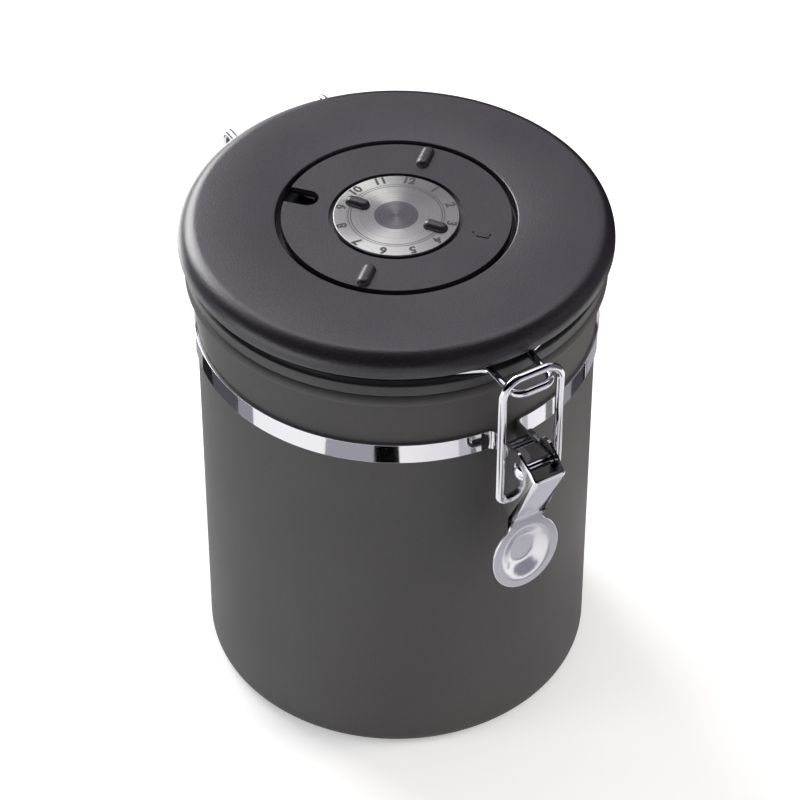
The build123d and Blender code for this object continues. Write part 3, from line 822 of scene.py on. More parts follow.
class CANISTER_OT_strap(bpy.types.Operator):
    """Polished strap with its ears, the screw and nut that draw it tight"""

    bl_idname = "canister.strap"
    bl_label = "Strap and clamp screw"

    def execute(self, context):
        bend = to_latch(knee(band_radius, ear_line, ear_bend, 1))
        first = bend[-1]
        start = degrees(atan2(first[1], first[0]))
        half_ring = arc((0, 0), band_radius, start + 360, 90, 1.5)
        tip = (-ear_line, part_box("neck_band")[0].y / MM)
        path = both_sides([tip] + bend + half_ring[1:])
        shape = ribbon(path, band_bottom, band_top, ear_corner)
        steel = Palette.get("steel")
        strap = make_piece("strap", shape, steel, "canister", ["neck_band"])
        thicken(strap, band_thickness, 0)
        break_edges(strap, 0.16 * MM)

        outer = ear_line + band_thickness / 2
        screw_reach = -(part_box("clamp_screw")[0].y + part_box("clamp_screw")[1].y) / 2 / MM
        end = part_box("clamp_screw")[1].x / MM
        shape = pin_along_x(screw_reach, band_middle, -outer, end, 1.5, (2.6, 0), 1.6)
        screw = Palette.get("screw")
        make_piece("clamp_screw_bright", shape, screw, "canister", ["clamp_screw"])

        flats = (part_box("clamp_nut")[1].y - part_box("clamp_nut")[0].y) / MM
        low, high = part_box("clamp_nut")
        nut = bmesh.new()
        bmesh.ops.create_circle(nut, cap_ends=True, radius=flats / cos(pi / 6) / 2 * MM, segments=6)
        grown = bmesh.ops.extrude_face_region(nut, geom=nut.faces[:])["geom"]
        lifted = [v for v in grown if isinstance(v, bmesh.types.BMVert)]
        bmesh.ops.translate(nut, verts=lifted, vec=(0, 0, high.x - low.x))
        bmesh.ops.recalc_face_normals(nut, faces=nut.faces[:])
        place = Matrix.Translation((low.x, -screw_reach * MM, band_middle * MM))
        bmesh.ops.transform(nut, matrix=place @ Matrix.Rotation(pi / 2, 4, "Y"), verts=nut.verts[:])
        nut = make_piece("clamp_nut_hexagon", nut, screw, "canister", ["clamp_nut"])
        break_edges(nut, 0.25 * MM, 2)
        return {"FINISHED"}


class CANISTER_OT_bracket(bpy.types.Operator):
    """Hinge bracket on the back of the strap"""

    bl_idname = "canister.bracket"
    bl_label = "Hinge bracket"

    def execute(self, context):
        thickness = 1.0
        ring = band_radius + (band_thickness + thickness) / 2 + 0.05
        bend = knee(ring, bracket_line, 2.0, -1)
        first = bend[-1]
        half_ring = arc((0, 0), ring, degrees(atan2(first[1], first[0])), 90, 1.5)
        tip = (-bracket_line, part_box("hinge_bracket")[1].y / MM)
        shape = ribbon(both_sides([tip] + bend + half_ring[1:]), band_bottom, band_top, 2.0)
        steel = Palette.get("steel")
        bracket = make_piece("bracket", shape, steel, "canister", ["hinge_bracket"])
        thicken(bracket, thickness, 0)
        break_edges(bracket, 0.16 * MM)
        return {"FINISHED"}


class CANISTER_OT_lever(bpy.types.Operator):
    """Latch lever: folded channel and thumb spoon, with its pivot rivet"""

    bl_idname = "canister.lever"
    bl_label = "Latch lever"

    def execute(self, context):
        steel = Palette.get("steel")
        plate_reach = spoon_reach - 0.12
        low = spoon_centre + spoon_half_length * sqrt(1 - (lever_outer / spoon_half_width) ** 2)
        outside = [
            lever_point(-lever_back, -lever_crown),
            lever_point(lever_face, -lever_crown),
            lever_point(lever_face, self.drop_to(lever_face, plate_reach)),
            (plate_reach, low - 2.0),
            (plate_reach - lever_sheet, low - 2.0),
            (plate_reach - lever_neck, low),
            lever_point(*lever_waist),
            lever_point(-lever_back, lever_heel),
        ]
        rounds = [(0, 3.4), (1, 1.2), (2, 3.0), (7, 3.4), (6, 3.4)]
        channel = self.prism(outside, rounds, lever_outer, lever_fold)
        satin = Palette.get("satin")
        channel = make_piece("lever_channel", channel, satin, "lever", ["latch_lever"])
        face_in = lever_face - lever_sheet
        back_in = plate_reach - lever_sheet
        inside = [
            lever_point(-lever_back - 2.0, -9.0),
            lever_point(face_in, -9.0),
            lever_point(face_in, self.drop_to(face_in, back_in)),
            (back_in, low - 4.0),
            (can_radius + 2.0, low - 4.0),
            (can_radius + 2.0, band_top),
        ]
        cut_away(channel, self.prism(inside, [(2, 3.0)], lever_outer - lever_sheet, lever_fold / 2), True)
        for polygon in channel.data.polygons:
            polygon.use_smooth = True
        channel.data.set_sharp_from_angle(angle=radians(30))
        break_edges(channel, 0.22 * MM, 3)

        spoon = self.spoon(low)
        spoon = make_piece("lever_spoon", spoon, Palette.get("soft"), "lever")
        thicken(spoon, lever_sheet, -1)
        break_edges(spoon, 0.28 * MM, 3, 50)

        reach = lever_outer + 0.05
        rivet = pin_along_x(pivot_reach, band_middle, -reach, reach, 1.5, (2.8, 2.8), 1.25)
        make_piece("lever_rivet", rivet, steel, "canister", ["lever_pin"])
        return {"FINISHED"}

    def drop_to(self, out, reach):
        """How far down the tilted lever a line at this depth meets a given reach."""
        return (pivot_reach + out * cos(lever_tilt) - reach) / sin(lever_tilt)

    def prism(self, points, rounds, half, fold):
        """Side outline pulled out to both sides, with its front edges folded round."""
        shape = side_to_latch(section(points, rounds))
        grown = bmesh.ops.extrude_face_region(shape, geom=shape.faces[:])["geom"]
        moved = [v for v in grown if isinstance(v, bmesh.types.BMVert)]
        bmesh.ops.translate(shape, verts=moved, vec=(2 * half * MM, 0, 0))
        bmesh.ops.translate(shape, verts=shape.verts[:], vec=(-half * MM, 0, 0))
        bmesh.ops.recalc_face_normals(shape, faces=shape.faces[:])
        folds = []
        for edge in shape.edges:
            front = [f for f in edge.link_faces if abs(f.normal.x) < 0.5 and f.normal.y < -0.5]
            if len(front) == 1 and edge.calc_face_angle(0) > 1.2:
                folds.append(edge)
        bmesh.ops.bevel(
            shape,
            geom=folds,
            offset=fold * MM,
            offset_type="OFFSET",
            affect="EDGES",
            segments=6,
            profile=0.5,
            material=-1,
        )
        return shape

    def spoon(self, low):
        """Oval plate with a dish pressed towards the can, facing the latch side."""
        shoulder = degrees(atan2(lever_outer / spoon_half_width, (low - spoon_centre) / spoon_half_length))
        first = shoulder + 9
        count = 44
        points = [(lever_outer, low + 2.6), (lever_outer, low)]
        for i in range(count + 1):
            angle = radians(first + (360 - 2 * first) * i / count)
            points.append(
                (spoon_half_width * sin(angle), spoon_centre + spoon_half_length * cos(angle))
            )
        points += [(-lever_outer, low), (-lever_outer, low + 2.6)]
        shape = section(points, [(1, 3.2), (len(points) - 2, 3.2)])
        rim = shape.edges[:]
        bmesh.ops.delete(shape, geom=shape.faces[:], context="FACES_ONLY")
        mouth = (spoon_half_width - 2.3, spoon_half_length - 2.3)
        floor = (4.6, 6.0)
        place = Matrix.Translation((0, 0, spoon_centre * MM)) @ Matrix.Rotation(pi / 2, 4, "X")
        size = Matrix.Diagonal((mouth[0] * MM, mouth[1] * MM, 1, 1))
        ring = bmesh.ops.create_circle(shape, radius=1, segments=88, matrix=place @ size)["verts"]
        loop = [e for e in shape.edges if e.verts[0] in ring and e.verts[1] in ring]
        bmesh.ops.triangle_fill(shape, use_beauty=True, edges=rim + loop)
        dish = [(1.3 * i / 16, 3 * (i / 16) ** 2 - 2 * (i / 16) ** 3) for i in range(17)]
        last = mouth
        last_depth = 0.0
        for share, sink in dish + [(1.45, 1.0), (1.65, 1.0), (1.85, 1.0), (1.95, 1.0)]:
            width = mouth[0] + (floor[0] - mouth[0]) * share
            length = mouth[1] + (floor[1] - mouth[1]) * share
            if share == 0:
                width, length = mouth[0] - 0.2, mouth[1] - 0.2
            loop = bmesh.ops.extrude_edge_only(shape, edges=loop)["geom"]
            verts = [v for v in loop if isinstance(v, bmesh.types.BMVert)]
            loop = [e for e in loop if isinstance(e, bmesh.types.BMEdge)]
            centre = Matrix.Translation((0, 0, -spoon_centre * MM))
            squeeze = Matrix.Diagonal((width / last[0], 1, length / last[1], 1))
            move = Matrix.Translation((0, (2.5 * sink - last_depth) * MM, 0))
            bmesh.ops.transform(
                shape, matrix=move @ centre.inverted() @ squeeze @ centre, verts=verts
            )
            last = (width, length)
            last_depth = 2.5 * sink
        bmesh.ops.edgeloop_fill(shape, edges=loop)
        bmesh.ops.translate(shape, verts=shape.verts[:], vec=(0, -spoon_reach * MM, 0))
        bmesh.ops.recalc_face_normals(shape, faces=shape.faces[:])
        flat = max(shape.faces, key=lambda f: f.calc_area())
        if flat.normal.y > 0:
            bmesh.ops.reverse_faces(shape, faces=shape.faces[:])
        return shape


class CANISTER_OT_wires(bpy.types.Operator):
    """Bent wires: the latch loop and the bail wire that holds the lid"""

    bl_idname = "canister.wires"
    bl_label = "Wires"

    def execute(self, context):
        steel = Palette.get("steel")
        low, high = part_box("latch_loop")
        top = high.z / MM - loop_wire
        top_reach = -low.y / MM - loop_wire
        end = lever_outer - lever_sheet - 1.2
        points = [
            (-end, -eye_reach, eye_height),
            (-loop_half, -eye_reach, eye_height),
            (-loop_half, -top_reach, top),
            (0, -top_reach, top),
        ]
        path = both_sides(rounded_path(points, [2.7, 6.0]))
        mesh = wire_mesh("latch_loop_wire", path, loop_wire, steel)
        place_piece("latch_loop_wire", mesh, "loop", ["latch_loop"])

        rear = knee(bail_ring, hinge_leg, 3.0, 1)
        # The ring's tangent at the start of the run meets the nose's leg at its corner
        run_back = sqrt(bail_ring**2 - nose_run**2)
        corner_back = (bail_ring**2 - nose_half * nose_run) / run_back
        hinge = [
            (-hinge_end, hinge_reach, band_middle),
            (-hinge_leg, hinge_reach, band_middle),
            (-hinge_leg, hinge_reach, bail_height),
            (*rear[0], bail_height),
        ]
        nose = [
            (-nose_run, -run_back, bail_height),
            (-nose_half, -corner_back, bail_height),
            (-nose_half, -nose_reach, bail_height),
            (0, -nose_reach, bail_height),
        ]
        start = degrees(atan2(rear[-1][1], rear[-1][0]))
        finish = degrees(atan2(-run_back, -nose_run)) + 360
        ring = arc((0, 0), bail_ring, start, finish, 2)
        flat = rear[1:] + ring[1:-1]
        path = rounded_path(hinge, [3.0, 3.0])
        path += [(x, y, bail_height) for x, y in flat]
        path += rounded_path(nose, [3.0, 4.0])
        mesh = wire_mesh("lid_wire", both_sides(path), bail_wire, steel)
        place_piece("lid_wire", mesh, "bail", ["bail_wire"])
        return {"FINISHED"}


class CANISTER_OT_lid(bpy.types.Operator):
    """Lid: grained cap, base with its flange, groove and plug, gasket and screws"""

    bl_idname = "canister.lid"
    bl_label = "Lid"

    def execute(self, context):
        steps = steps_round()
        collar = groove_radius - 2.2
        plate_top = flange_bottom + 2.4
        plug_bottom = bottom_of("lid_base")
        points = [
            (8.5, flange_bottom),
            (52.6, flange_bottom),
            (52.6, plug_bottom),
            (54.8, plug_bottom),
            (57.25, flange_bottom - 2.7),
            (57.25, flange_bottom),
            (flange_radius, flange_bottom),
            (flange_radius, flange_top),
            (groove_radius, flange_top),
            (groove_radius, groove_top),
            (collar, groove_top),
            (collar, plate_top),
            (8.5, plate_top),
        ]
        rounds = [(2, 0.5), (3, 0.5), (6, 0.6), (7, 0.6), (8, 0.4)]
        shape = turned(points, rounds, steps)
        make_piece("lid_underside", shape, Palette.get("base"), "lid", ["lid_base"])

        under = lid_top - 2.6
        recess_under = recess_bottom - 2.0
        points = [
            (recess_radius, lid_top),
            (cap_radius, lid_top),
            (cap_radius, groove_top),
            (63.4, groove_top),
            (63.4, groove_top + 3.4),
            (groove_radius + 0.6, groove_top + 3.4),
            (groove_radius + 0.6, groove_top),
            (collar - 0.05, groove_top),
            (collar - 0.05, groove_top - 2.6),
            (collar - 2.25, groove_top - 2.6),
            (collar - 2.25, under),
            (38.2, under),
            (38.2, recess_under),
            (9.1, recess_under),
            (9.1, lid_top - 1.6),
            (17.55, lid_top - 1.6),
            (17.55, ring_bottom - 0.1),
            (19.5, ring_bottom - 0.1),
            (19.5, recess_bottom),
            (recess_radius, recess_bottom),
        ]
        rounds = [(1, 6.0), (2, 0.8), (0, 0.55), (3, 0.4)]
        shape = turned(points, rounds, steps)
        make_piece("cap", shape, Palette.get("cap"), "lid", ["lid_cap"])

        low = bottom_of("lid_gasket")
        outer = half_width("lid_gasket")
        points = [
            (57.3, flange_bottom),
            (outer, flange_bottom),
            (outer, flange_bottom - 0.6),
            (58.9, flange_bottom - 0.6),
            (58.0, low),
            (57.3, low),
        ]
        shape = turned(points, [(1, 0.2), (2, 0.2), (4, 0.2)], steps)
        make_piece("gasket", shape, Palette.get("silicone"), "lid", ["lid_gasket"])
        self.screws()
        return {"FINISHED"}

    def screws(self):
        """Four pan-head screws with crossed slots, up into the cap."""
        joined = bmesh.new()
        circle = (groove_radius - 12.9) * MM
        for index in range(4):
            shape = domed_head(3.0, 1.7, 0.0)
            shank = turned([(0, -9.7), (1.5, -9.7), (1.5, 0), (0, 0)], [(1, 0.3)], 32)
            add_shape(shape, shank)
            angle = radians(45 + 90 * index)
            spot = Vector((circle * sin(angle), -circle * cos(angle), flange_bottom * MM))
            add_shape(joined, shape, Matrix.Translation(spot) @ Matrix.Rotation(pi, 4, "X"))
        screws = make_piece(
            "screws", joined, Palette.get("screw"), "lid", ["lid_screws"]
        )
        for index in range(4):
            angle = radians(45 + 90 * index)
            spot = Vector((circle * sin(angle), -circle * cos(angle), (flange_bottom - 1.7) * MM))
            for turn in (0.4, 0.4 + pi / 2):
                slot = bmesh.new()
                size = Matrix.Diagonal((3.2 * MM, 0.6 * MM, 1.8 * MM, 1))
                place = Matrix.Translation(spot) @ Matrix.Rotation(turn, 4, "Z") @ size
                bmesh.ops.create_cube(slot, size=1, matrix=place)
                cut_away(screws, slot)


class CANISTER_OT_date_rings(bpy.types.Operator):
    """Day ring with its window slot and grips, over the printed day scale"""

    bl_idname = "canister.date_rings"
    bl_label = "Day ring and scale"

    def execute(self, context):
        sizes = context.scene.canister_sizes
        plastic = Palette.get("cap")
        low = bottom_of("day_scale")
        top = top_of("day_scale")
        shape = tube(half_width("day_scale"), 24.0, low, top, 0.1, steps_round())
        make_piece("scale", shape, Palette.get("scale"), "lid", ["day_scale"])
        step = 360 / 32
        labels = [str(day) for day in range(1, 32)]
        numbers_round(
            "day_numbers", labels, slot_angle - step, -step, 29.8, top, sizes.day_height,
            Palette.get("white"), "lid",
        )

        ledge = ring_bottom + 0.9
        points = [
            (17.6, ring_bottom),
            (ring_radius, ring_bottom),
            (ring_radius, lid_top),
            (20.3, lid_top),
            (20.3, ledge),
            (17.6, ledge),
        ]
        shape = turned(points, steps=steps_round())
        ring = make_piece("ring", shape, plastic, "ring", ["day_ring"])
        length = ring_radius - slot_inner + slot_width
        slot = grip(
            slot_inner, slot_inner + length, slot_width, ring_bottom - 2, lid_top + 2, 0.01, slot_angle
        )
        cut_away(ring, slot)
        self.pointer(ring)
        for polygon in ring.data.polygons:
            polygon.use_smooth = True
        ring.data.set_sharp_from_angle(angle=radians(35))
        break_edges(ring, 0.45 * MM, 4, 50)

        grips = bmesh.new()
        for turn in (-90, 90):
            nub = grip(
                24.3, 34.1, nub_width, lid_top - 0.4, top_of("day_ring"), nub_round, slot_angle + turn
            )
            add_shape(grips, nub)
        make_piece("ring_grips", grips, Palette.get("cap"), "ring")
        return {"FINISHED"}

    def pointer(self, ring):
        """Engraved bracket mark opposite the slot."""
        turn = Matrix.Rotation(radians(slot_angle + 180), 4, "Z")
        strokes = [
            ((-1.95, 25.3), (-1.95, 29.3)),
            ((-1.95, 25.3), (-0.5, 24.0)),
            ((-1.95, 29.3), (-0.1, 29.3)),
        ]
        for start, end in strokes:
            middle = Vector(((start[0] + end[0]) / 2 * MM, -(start[1] + end[1]) / 2 * MM, lid_top * MM))
            run = Vector((end[0] - start[0], -(end[1] - start[1]), 0))
            size = Matrix.Diagonal(((run.length + 0.5) * MM, 0.5 * MM, 0.6 * MM, 1))
            lie = Matrix.Rotation(atan2(run.y, run.x), 4, "Z")
            stroke = bmesh.new()
            bmesh.ops.create_cube(stroke, size=1, matrix=turn @ Matrix.Translation(middle) @ lie @ size)
            cut_away(ring, stroke)


class CANISTER_OT_month_dial(bpy.types.Operator):
    """Month dial: brushed plate with printed numbers on a carrier with two grips"""

    bl_idname = "canister.month_dial"
    bl_label = "Month dial"

    def execute(self, context):
        sizes = context.scene.canister_sizes
        steps = steps_round()
        plastic = Palette.get("cap")
        plate_bottom = bottom_of("dial_plate")
        disc_bottom = plate_bottom - 0.9
        hub_bottom = bottom_of("dial_carrier")
        points = [
            (0, hub_bottom),
            (9.05, hub_bottom),
            (9.05, disc_bottom),
            (dial_radius, disc_bottom),
            (dial_radius, plate_bottom),
            (0, plate_bottom),
        ]
        shape = turned(points, [(3, 0.2)], steps)
        for turn in (0, 180):
            nub = grip(
                8.9, 16.9, nub_width, plate_bottom, top_of("dial_carrier"), nub_round,
                dial_nub_angle + turn,
            )
            add_shape(shape, nub)
        make_piece("carrier", shape, plastic, "dial", ["dial_carrier"])
        shape = turned(
            [(0, plate_bottom), (dial_radius, plate_bottom), (dial_radius, dial_top), (0, dial_top)],
            [(2, 0.35)],
            steps,
        )
        make_piece("plate", shape, Palette.get("plate"), "dial", ["dial_plate"])
        labels = ["12"] + [str(month) for month in range(1, 12)]
        numbers_round(
            "month_numbers", labels, twelve_angle, -30, 16.8, dial_top, sizes.month_height,
            Palette.get("ink"), "dial",
        )

        low = bottom_of("dial_washer")
        shape = tube(12.0, 1.65, low, top_of("dial_washer"), 0.15, 96)
        make_piece("washer", shape, Palette.get("base"), "dial", ["dial_washer"])
        shape = domed_head(3.5, 1.8, 0.0)
        add_shape(shape, turned([(0, -6), (1.6, -6), (1.6, 0), (0, 0)], [(1, 0.3)], 32))
        place = Matrix.Translation((0, 0, low * MM)) @ Matrix.Rotation(pi, 4, "X")
        bmesh.ops.transform(shape, matrix=place, verts=shape.verts[:])
        make_piece("hub_screw", shape, Palette.get("screw"), "dial", ["dial_screw"])
        return {"FINISHED"}


class CANISTER_OT_valve(bpy.types.Operator):
    """One-way gas valve under the lid: body, silicone disc, cap and felt filter"""

    bl_idname = "canister.valve"
    bl_label = "Gas valve"

    def execute(self, context):
        low = bottom_of("valve_body")
        top = top_of("valve_body")
        web = low + 0.6
        points = [
            (1.1, web),
            (6.6, web),
            (6.6, low),
            (12.0, low),
            (12.0, flange_bottom),
            (8.45, flange_bottom),
            (8.45, top),
            (6.6, top),
            (6.6, web + 1.0),
            (1.1, web + 1.0),
        ]
        shape = turned(points, [(3, 0.4), (2, 0.3), (6, 0.2)], 128)
        pale = Palette.get("pale")
        body = make_piece("valve_housing", shape, pale, "lid", ["valve_body"])
        self.vents(body, web + 0.5, 2.0)

        disc_low = web + 1.05
        disc_top = disc_low + 0.6
        points = [(0, web), (1.0, web), (1.0, disc_low), (5.6, disc_low), (5.6, disc_top), (0, disc_top)]
        shape = turned(points, [(3, 0.15), (4, 0.2), (1, 0.2)], 96)
        make_piece("valve_flap", shape, Palette.get("silicone"), "valve", ["valve_disc"])

        cap_low = bottom_of("valve_cap")
        cap_top = top_of("valve_cap")
        points = [(0, cap_low), (6.55, cap_low), (6.55, top), (8.45, top), (8.45, cap_top), (0, cap_top)]
        shape = turned(points, [(1, 0.2), (3, 0.15), (4, 0.3)], 96)
        cap = make_piece("valve_cover", shape, pale, "lid", ["valve_cap"])
        self.vents(cap, (cap_low + cap_top) / 2, 5.0)

        points = [(0, web - 0.4), (6.5, web - 0.4), (6.5, web), (0, web)]
        shape = turned(points, [(1, 0.1)], 96)
        make_piece("filter", shape, Palette.get("felt"), "lid", ["valve_filter"])
        return {"FINISHED"}

    def vents(self, piece, height, depth):
        """Six round vent holes."""
        for index in range(6):
            angle = radians(60 * index)
            spot = Matrix.Translation((3.8 * MM * sin(angle), -3.8 * MM * cos(angle), height * MM))
            hole = bmesh.new()
            bmesh.ops.create_cone(
                hole, cap_ends=True, segments=32, radius1=0.9 * MM, radius2=0.9 * MM,
                depth=depth * MM, matrix=spot,
            )
            cut_away(piece, hole)
        piece.data.set_sharp_from_angle(angle=radians(35))


class CANISTER_OT_stage(bpy.types.Operator):
    """Pale floor, soft lights, glowing panels, flags and cards that paint reflections, camera and colour
    settings
    """

    bl_idname = "canister.stage"
    bl_label = "Stage"

    def execute(self, context):
        scene = context.scene
        scene.view_settings.view_transform = "Standard"
        self.floor(scene)
        self.world(scene)
        self.lights(scene)
        self.sheets(scene)
        self.floor_cards(scene)
        self.camera(scene)
        return {"FINISHED"}

    def seen_rays(self, tree):
        """1 for the rays that show the backdrop, 0 for those that light the object."""
        rays = add_node(tree, "ShaderNodeLightPath").outputs
        seen = rays["Is Camera Ray"]
        for name in ("Is Glossy Ray", "Is Transmission Ray"):
            seen = add_node(
                tree, "ShaderNodeMath", links=[(0, seen), (1, rays[name])], operation="MAXIMUM"
            ).outputs[0]
        return seen

    def floor(self, scene):
        """Wide white floor that keeps the canister's shadow."""
        shape = bmesh.new()
        bmesh.ops.create_grid(shape, x_segments=1, y_segments=1, size=6)
        mesh = bpy.data.meshes.new("floor")
        shape.to_mesh(mesh)
        shape.free()
        material, tree, shader, place = new_material("Floor, white card")
        tint = tinted(tree, grain(tree, place, 60.0), linear("#F4F4F5"), linear("#F7F7F7"))
        tree.links.new(tint, shader.inputs["Base Color"])
        shader.inputs["Roughness"].default_value = 0.9
        seen = self.seen_rays(tree)
        lift = add_node(tree, "ShaderNodeMath", [(1, 0.3)], [(0, seen)], operation="MULTIPLY")
        shader.inputs["Emission Color"].default_value = (1, 1, 1, 1)
        tree.links.new(lift.outputs[0], shader.inputs["Emission Strength"])
        mesh.materials.append(material)
        floor = bpy.data.objects.new("floor", mesh)
        scene.collection.objects.link(floor)

    def world(self, scene):
        """White backdrop, with an even dimmer light for the object."""
        world = bpy.data.worlds.new("Studio")
        scene.world = world
        world.use_nodes = True
        tree = world.node_tree
        tree.nodes.clear()
        seen = self.seen_rays(tree)
        strength = add_node(
            tree, "ShaderNodeMapRange", [("To Min", 0.45), ("To Max", 1.0)], [("Value", seen)]
        ).outputs[0]
        sky = add_node(
            tree, "ShaderNodeBackground", [("Color", (1, 1, 1, 1))], [("Strength", strength)]
        )
        add_node(tree, "ShaderNodeOutputWorld", links=[("Surface", sky.outputs[0])])

    def from_camera(self, right, near, height):
        """Place measured from the axis: right and near as the camera sees them."""
        return Matrix.Rotation(radians(camera_azimuth), 3, "Z") @ Vector((right, -near, height))

    def lights(self, scene):
        """Softboxes: the key behind on the left, fills on the right and left."""
        boxes = [
            ("softbox_key", (-0.75, -0.9, 0.75), (0.75, 0.75), "#FFFFFF", 15.0),
            ("softbox_right", (1.15, 0.05, 0.5), (0.6, 0.8), "#FFFAF3", 9.0),
            ("softbox_left", (-1.15, 0.35, 0.5), (0.5, 0.7), "#FFFFFF", 3.5),
        ]
        for name, place, size, tone, power in boxes:
            lamp = bpy.data.lights.new(name, "AREA")
            lamp.shape = "RECTANGLE"
            lamp.size, lamp.size_y = size
            lamp.energy = power
            lamp.color = linear(tone)
            holder = bpy.data.objects.new(name, lamp)
            holder.location = self.from_camera(*place)
            aim = Vector((0, 0, 0.12)) - holder.location
            holder.rotation_euler = aim.to_track_quat("-Z", "Y").to_euler()
            # The lamps show in no reflection; the glowing panels in sheets paint their highlights instead.
            holder.visible_glossy = False
            scene.collection.objects.link(holder)

    def sheets(self, scene):
        """Glowing panels and flags round the canister that paint its highlights and reflections: they show
        in its reflections alone, and light and shade nothing else.

        Each runs between two azimuths, measured from behind the canister to the
        right, and between two edges given as radius and height.
        """
        around = [
            # The panels are painted highlights and reflections: glowing white and pale cards, panel_key
            # standing for the key softbox's highlight on the cap.
            ("panel_key", (-58, -18), (1.05, 0.40), (0.95, 1.25), "#FFFFFF", 10.5),
            ("panel_back", (-60, 58), (1.15, 0.56), (0.9, 1.25), "#ECE4F4", 0.95),
            ("panel_top", (-40, 60), (0.9, 1.25), (0.5, 1.5), "#ECE7F4", 2.8),
            ("panel_left", (210, 258), (0.8, 0.04), (0.8, 0.26), "#FFFFFF", 2.8),
            ("floor_left", (-55, -15), (0.27, 0.003), (1.1, 0.003), "#FFFFFF", 4.0),
            # The flags are painted dark reflections: glowing near-black and grey cards, which cast no shade.
            ("flag_front", (35, 285), (1.1, 0.38), (1.1, 1.6), "#0C0C0D", 1.0),
            ("flag_above", (60, 320), (1.1, 1.6), (0.5, 1.5), "#0C0C0D", 1.0),
            ("flag_top", (0, 360), (0.5, 1.51), (0.01, 1.51), "#2A2A2C", 1.0),
            ("flag_low", (-9, 60), (0.36, 0.003), (0.36, 0.235), "#0A0A0A", 1.0),
            ("flag_floor", (-9, 62), (0.19, 0.003), (0.36, 0.003), "#0A0A0A", 1.0),
            ("flag_right", (56, 110), (0.42, 0.003), (0.5, 0.5), "#67666A", 1.0),
            ("flag_near", (110, 160), (0.45, 0.003), (0.5, 0.38), "#9594A0", 1.0),
            ("flag_left", (265, 300), (0.5, 0.003), (0.5, 0.3), "#A5A4AA", 1.0),
            # The shade_ cards paint the floor's shadow round the can into reflections; bounce_spoon paints a
            # pale reflection in the spoon.
            ("shade_right", (-9, 62), (0.075, 0.001), (0.19, 0.001), "#77767A", 1.0),
            ("shade_latch", (80, 135), (0.063, 0.002), (0.1, 0.002), "#CCCBD4", 1.0),
            ("bounce_spoon", (127, 142), (0.16, 0.1), (0.16, 0.165), "#E9E8EC", 1.0),
            ("shade_spoon", (112, 150), (0.11, 0.001), (0.22, 0.001), "#D0CFD5", 1.0),
        ]
        for name, sweep, low, high, tone, strength in around:
            shape = bmesh.new()
            ends = [shape.verts.new((0, -radius, height)) for radius, height in (low, high)]
            shape.edges.new(ends)
            turn = Matrix.Rotation(radians(camera_azimuth + 180 - sweep[1]), 4, "Z")
            bmesh.ops.transform(shape, matrix=turn, verts=shape.verts[:])
            span = sweep[1] - sweep[0]
            bmesh.ops.spin(
                shape, geom=shape.verts[:] + shape.edges[:], cent=(0, 0, 0), axis=(0, 0, 1),
                angle=radians(span), steps=span // 4, use_merge=False, use_duplicate=False,
            )
            self.card(scene, name, shape, tone, strength)

    def floor_cards(self, scene):
        """Glowing cards on the floor that paint the strap's mirrored stripes, each between two angles round
        it; they show in reflections alone.
        """
        cards = [
            # Painted reflections: each tone is the stripe that the strap shows between these angles.
            ("card_left_pale", -80.7, -72.5, "#ABAAB2"),
            ("card_left_black", -72.5, -64.2, "#262527"),
            ("card_left_grey", -64.2, -50.7, "#5C5B60"),
            ("card_left_soft", -50.7, -44.5, "#A3A2AA"),
            ("card_front_grey", -20, -6.2, "#B2B1B9"),
            ("card_front_black", -6.2, 0.7, "#020202"),
            ("card_right_soft", 21.5, 32.5, "#85848A"),
            ("card_right_mid", 46.9, 49.9, "#8A898D"),
            ("card_right_late", 54.2, 59, "#9E9DA2"),
            ("card_right_grey", 59, 66.5, "#4C4B50"),
            ("card_right_black", 66.5, 68.3, "#0C0C0D"),
            ("card_right_pale", 69.5, 79.5, "#B0AFB7"),
            ("card_right_white", 80.5, 90, "#FFFFFF"),
        ]
        for name, first, last, tone in cards:
            ends = [self.mirrored_spot(radians(angle)) for angle in (first, last)]
            along = ends[1] - ends[0]
            spot = Matrix.Translation((ends[0] + ends[1]) / 2)
            turn = Matrix.Rotation(atan2(along.y, along.x), 4, "Z")
            shape = bmesh.new()
            size = Matrix.Diagonal((along.length, 0.05, 1, 1))
            bmesh.ops.create_grid(
                shape, x_segments=1, y_segments=1, size=0.5, matrix=spot @ turn @ size
            )
            self.card(scene, name, shape, tone, 1.0)

    def mirrored_spot(self, angle):
        """Spot on the floor that the strap mirrors at an angle from the camera's side."""
        fall = band_middle * MM / tan(camera_elevation)
        round_strap = self.from_camera(sin(angle), cos(angle), 0) * band_radius * MM
        on_floor = self.from_camera(sin(2 * angle), cos(2 * angle), 0) * fall
        return round_strap + on_floor + Vector((0, 0, 0.002))

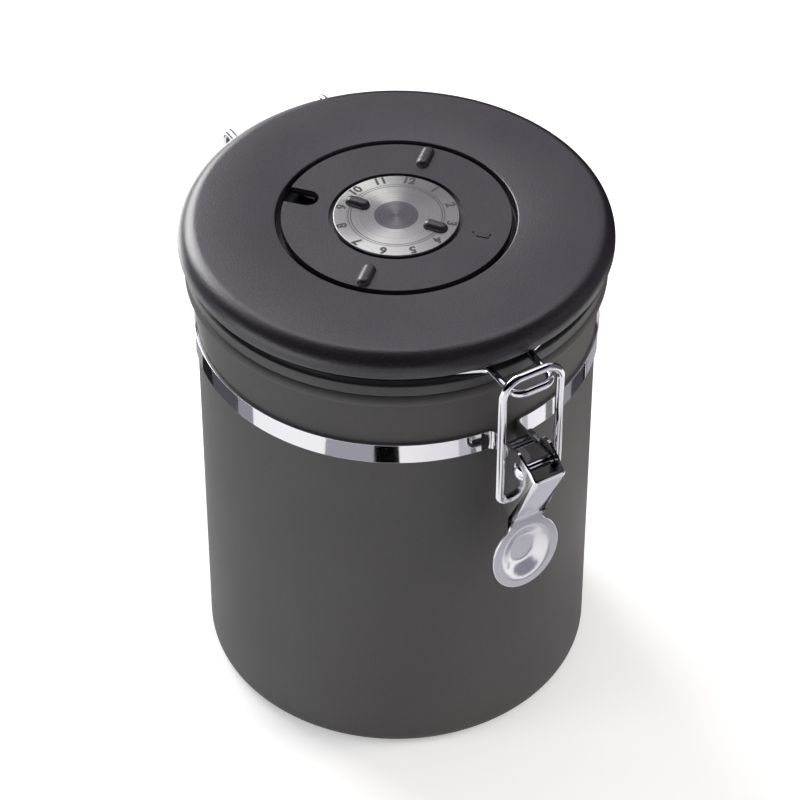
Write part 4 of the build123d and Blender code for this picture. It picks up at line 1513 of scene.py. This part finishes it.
    def card(self, scene, name, shape, tone, strength):
        """Glowing card that paints reflections: it shows in reflections alone, lights nothing and casts no
        shadow.
        """
        mesh = bpy.data.meshes.new(name)
        shape.to_mesh(mesh)
        shape.free()
        material, tree, shader, place = new_material(name)
        shader.inputs["Base Color"].default_value = (0, 0, 0, 1)
        shader.inputs["Specular IOR Level"].default_value = 0
        shader.inputs["Emission Color"].default_value = (*linear(tone), 1)
        shader.inputs["Emission Strength"].default_value = strength
        mesh.materials.append(material)
        card = bpy.data.objects.new(name, mesh)
        card.visible_camera = False
        card.visible_diffuse = False
        card.visible_shadow = False
        card.visible_transmission = False
        scene.collection.objects.link(card)

    def camera(self, scene):
        """Camera at the photograph's place, to the left of the latch and above."""
        target = self.from_camera(1.1 * MM, 0, 93.04 * MM)
        back = self.from_camera(0, cos(camera_elevation), sin(camera_elevation))
        lens = bpy.data.cameras.new("camera")
        lens.sensor_width = 36
        lens.lens = 3473.4 / 800 * 36
        camera = bpy.data.objects.new("camera", lens)
        camera.location = target + back * 1087.4 * MM
        camera.rotation_euler = (-back).to_track_quat("-Z", "Y").to_euler()
        scene.collection.objects.link(camera)
        scene.camera = camera


class CANISTER_PT_panel(bpy.types.Panel):
    """Sidebar panel that lists the canister's pieces"""

    bl_label = "Canister"
    bl_idname = "CANISTER_PT_panel"
    bl_space_type = "VIEW_3D"
    bl_region_type = "UI"
    bl_category = "Canister"

    def draw(self, context):
        layout = self.layout
        for group in (context.scene.canister_sizes, context.scene.canister_colours):
            for name in group.__annotations__:
                layout.prop(group, name)
        for operator in steps:
            layout.operator(operator.bl_idname)


steps = [
    CANISTER_OT_can,
    CANISTER_OT_strap,
    CANISTER_OT_bracket,
    CANISTER_OT_lever,
    CANISTER_OT_wires,
    CANISTER_OT_lid,
    CANISTER_OT_date_rings,
    CANISTER_OT_month_dial,
    CANISTER_OT_valve,
    CANISTER_OT_stage,
]
classes = [CanisterSizes, CanisterColours, *steps, CANISTER_PT_panel]


def register():
    """Register the classes and hang the settings on the scene."""
    for item in classes:
        bpy.utils.register_class(item)
    bpy.types.Scene.canister_sizes = PointerProperty(type=CanisterSizes)
    bpy.types.Scene.canister_colours = PointerProperty(type=CanisterColours)


def unregister():
    """Take the settings and classes away again."""
    del bpy.types.Scene.canister_colours
    del bpy.types.Scene.canister_sizes
    for item in reversed(classes):
        bpy.utils.unregister_class(item)


def main():
    """Build the canister and its stage."""
    register()
    for operator in steps:
        area, name = operator.bl_idname.split(".")
        getattr(getattr(bpy.ops, area), name)()


if __name__ == "__main__":
    main()
